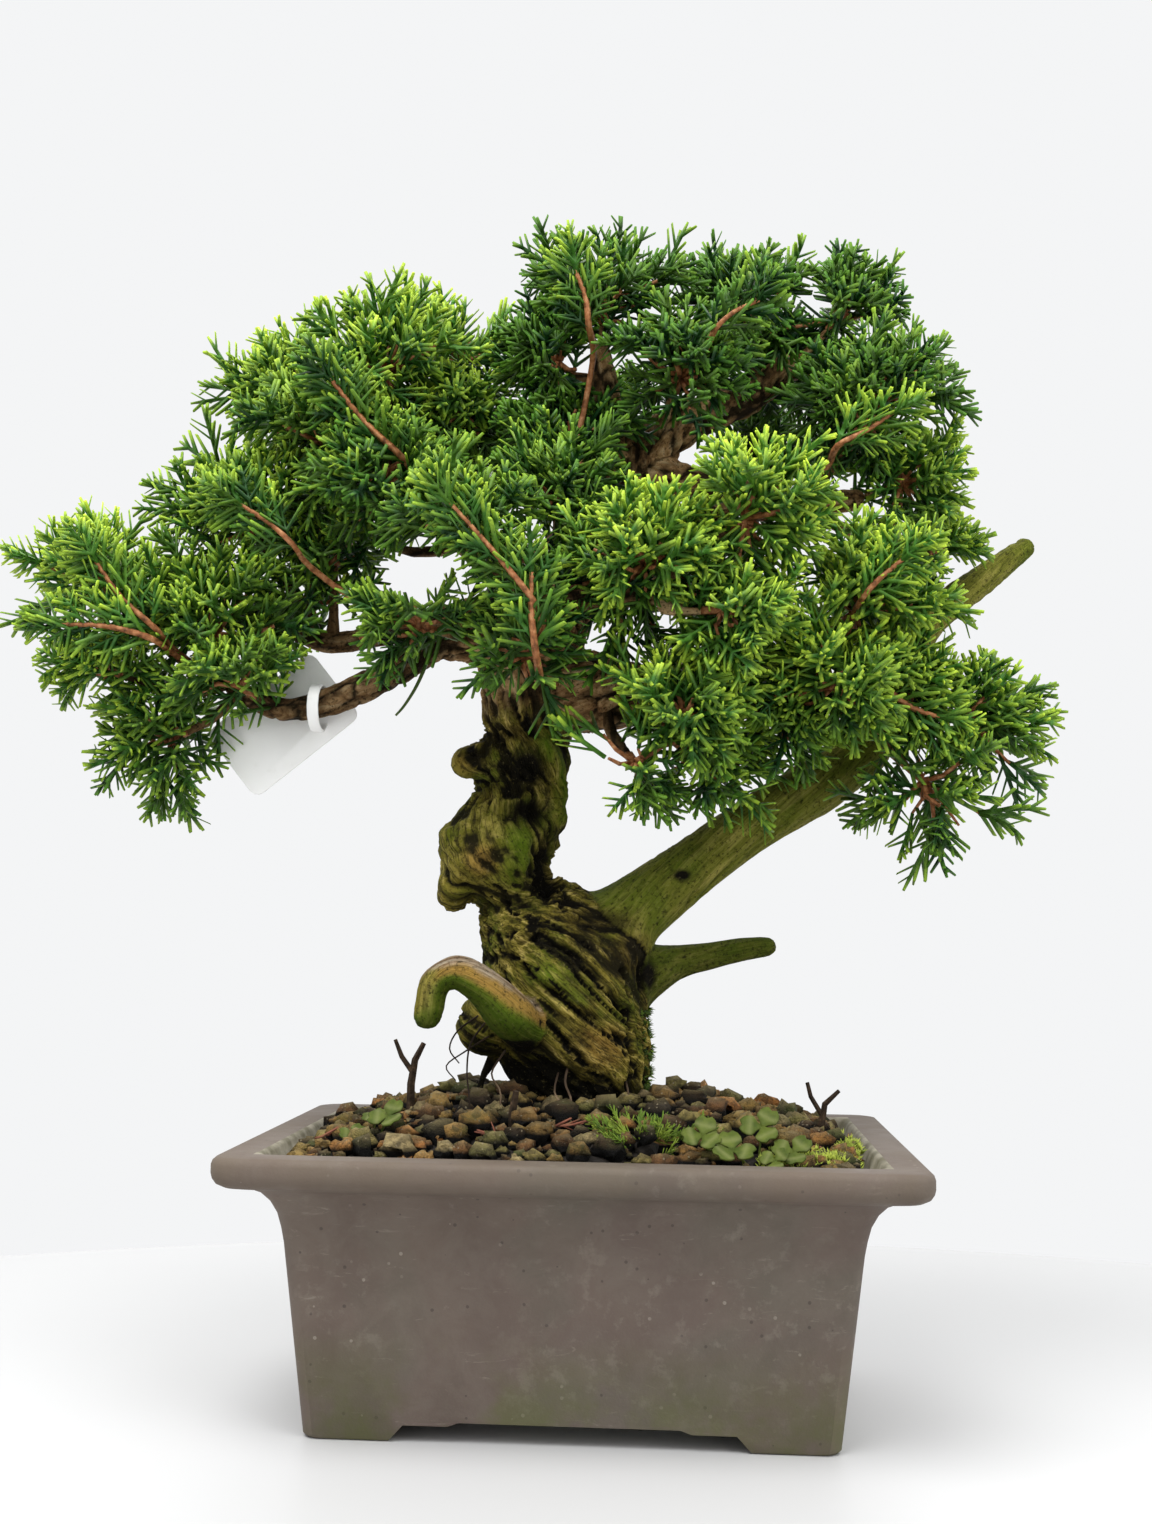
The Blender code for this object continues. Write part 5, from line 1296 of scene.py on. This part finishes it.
# Hair roots: thin roots that have come out of the old trunk's underside and hang down to the soil.
# The dark ones are dead, the pale ones are alive.
HAIRS = [
    [(-28, -20, 110, 0.35), (-31.5, -25, 104, 0.3), (-32, -27, 96, 0.26), (-31, -28, 88, 0.24),
     (-31.5, -28, 76, 0.22)],
    [(-30, -20, 112, 0.3), (-35, -26, 108, 0.26), (-37, -28, 103, 0.24), (-34, -29, 99, 0.2)],
    [(-27, -18, 106, 0.3), (-33, -25, 102, 0.25), (-38, -27, 98, 0.22), (-35, -28, 94, 0.18)],
    [(-22, -18, 102, 0.35), (-25, -26, 96, 0.28), (-22, -28, 90, 0.25), (-24, -29, 77, 0.22)],
    [(-3, -15, 100, 0.4), (-4, -24, 94, 0.36), (-2, -26, 88, 0.32), (-4, -28, 78, 0.28)],
    [(-6, -15, 98, 0.35), (-7, -24, 91, 0.3), (-4, -26, 86, 0.28), (-6, -27, 78, 0.24)],
    [(12, -10, 96, 0.35), (14, -18, 90, 0.3), (12, -20, 85, 0.28), (13, -21, 78, 0.24)],
    [(-16, 12, 100, 0.4), (-20, 18, 92, 0.34), (-19, 20, 86, 0.3), (-20, 22, 77, 0.26)],
    [(5, 14, 98, 0.4), (8, 20, 90, 0.34), (6, 22, 84, 0.3), (7, 24, 77, 0.26)],
]
hair_shapes = [twig_shape(flowing(line, 4), 5) for line in HAIRS]
hair_places = [(k, in_metres(points)) for k, (points, _) in enumerate(hair_shapes)]
finish_with(copies("hair_roots", hair_shapes, hair_places, {}), mottled_look("hair_root", 0.8, 0.2, (40, 2), [
    (0.42, (0.022, 0.014, 0.009)), (0.55, (0.075, 0.048, 0.028)), (0.66, (0.30, 0.21, 0.13)),
], (1500,), 0.6, 0.0003), "bark")

# Moss: feathery fronds in front of the trunk, a bright cushion along the right rim, and a fringe that climbs
# the trunk's right edge. It grows on the damp grains and bark.
MOSS_FRONDS = [((18, -41), 9.0, 46, 8.5), ((30, -33), 6.0, 18, 7.0)]
MOSS_STRIP = [(52, -53), (60, -50), (68, -45), (74, -36), (79, -24), (80, -10)]
RIM_TUFTS, BARK_TUFTS = 430, 190
blade = shape_of(close(begin(
    "blade", bpy.ops.mesh.primitive_cone_add, vertices=3, radius1=0.3, radius2=0.0, depth=2.0, location=(0, 0, 1.0),
)))
moss_places, moss_kinds = [], []


def upright(way):
    """The turn that stands an upright shape along a way."""
    return way.to_track_quat("Z", "Y").to_matrix()


for (mx, my), reach, number_of_fronds, length in MOSS_FRONDS:
    for _ in range(number_of_fronds):
        angle, off = vary(0, 6.28), reach * math.sqrt(leaf_draw.random())
        fx, fy = mx + off * math.cos(angle), my + off * 0.8 * math.sin(angle)
        foot = Vector((fx, fy, soil_top(fx, fy) + 0.8))
        lean = Vector((math.cos(angle) * 0.8, math.sin(angle) * 0.8, vary(0.3, 0.9))).normalized()
        number = leaf_draw.randrange(len(sprigs))
        turn_up = upright(lean) @ Matrix.Rotation(vary(0, 6.28), 3, "Z")
        size = length * vary(0.7, 1.1) / SPRIG_LENGTH
        moved = set_down(sprigs[number][0], (size * 0.8, size * 0.8, size), turn_up, foot)
        moss_places.append((number, in_metres(moved)))
        moss_kinds.append(np.full(len(moved), vary(0.12, 0.5)))


def moss_tuft(foot, way, kind):
    """A few blades that fan out from one place."""
    for _ in range(6):
        lean = (way + anyway(0.8)).normalized()
        moved = set_down(blade[0], vary(0.6, 1.25), upright(lean), foot)
        moss_places.append((len(sprigs), in_metres(moved)))
        moss_kinds.append(np.full(len(moved), kind + vary(-0.15, 0.15)))


for _ in range(RIM_TUFTS):
    k = leaf_draw.randrange(len(MOSS_STRIP) - 1)
    share = leaf_draw.random()
    tx, ty = (a * (1 - share) + b * share + leaf_draw.gauss(0, 2.2) for a, b in zip(MOSS_STRIP[k], MOSS_STRIP[k + 1]))
    if abs(tx) < 80 and abs(ty) < 55:
        moss_tuft(Vector((tx, ty, soil_top(tx, ty) + vary(1.0, 3.2))), Vector((0, -0.2, 1)), 0.85)
weathered_surface = surface_of(wood.data)
for _ in range(BARK_TUFTS):
    angle = vary(-0.30, 0.30) if leaf_draw.random() < 0.7 else vary(1.6, 2.9)
    start = here(60 * math.cos(angle), 60 * math.sin(angle), vary(84, 114))
    spot, way, _, _ = weathered_surface.ray_cast(start, (here(0, 0, start.z / MM) - start).normalized())
    if spot is not None:
        moss_tuft((spot - POT_MIDDLE) / MM, way, vary(-0.1, 0.15))
moss = copies("moss", [*sprigs, blade], moss_places, {"kind": np.concatenate(moss_kinds)})
fronds = Look("moss_leaves", 0.7, 0.2)
fronds.tone = fronds.ramp(fronds.stored("kind"), [
    (0.0, (0.040, 0.070, 0.012)), (0.2, (0.120, 0.200, 0.020)), (0.5, (0.230, 0.300, 0.035)),
    (0.9, (0.370, 0.430, 0.060)),
])
fronds.over(fronds.patches((300, 4), 0.5, 0.35, 0.0, 0.7), (0.030, 0.060, 0.010))
fronds.done(fronds.cloudy(1500), 0.5, 0.0003)
finish_with(moss, fronds, "soil")

# Fallen sprigs: dry juniper tips that have turned red-brown. They lie loose on the soil in front of the trunk
# and by the rim.
FALLEN = [
    ((-2, -36), 14, 0.2), ((-24, -42), 10, 2.6), ((78, -4), 13, 1.7), ((-70, -30), 12, 0.9),
    ((66, -30), 10, 2.2), ((-40, 30), 13, 0.5), ((30, 36), 12, 2.9),
]
fallen_places = []
for (fx, fy), length, heading in FALLEN:
    way = Vector((math.cos(heading), math.sin(heading), 0.12)).normalized()
    foot = Vector((fx, fy, soil_top(fx, fy) + 2.6)) - way * length / 2
    number = leaf_draw.randrange(len(sprigs))
    moved = set_down(sprigs[number][0], (0.45, 0.45, length / SPRIG_LENGTH), upright(way), foot)
    fallen_places.append((number, in_metres(moved)))
finish_with(copies("fallen_sprigs", sprigs, fallen_places, {}), mottled_look("dry_sprig", 0.8, 0.2, (200, 4), [
    (0.35, (0.080, 0.028, 0.018)), (0.55, (0.210, 0.075, 0.045)), (0.7, (0.170, 0.110, 0.050)),
], (900,), 0.5, 0.0004), "foliage")
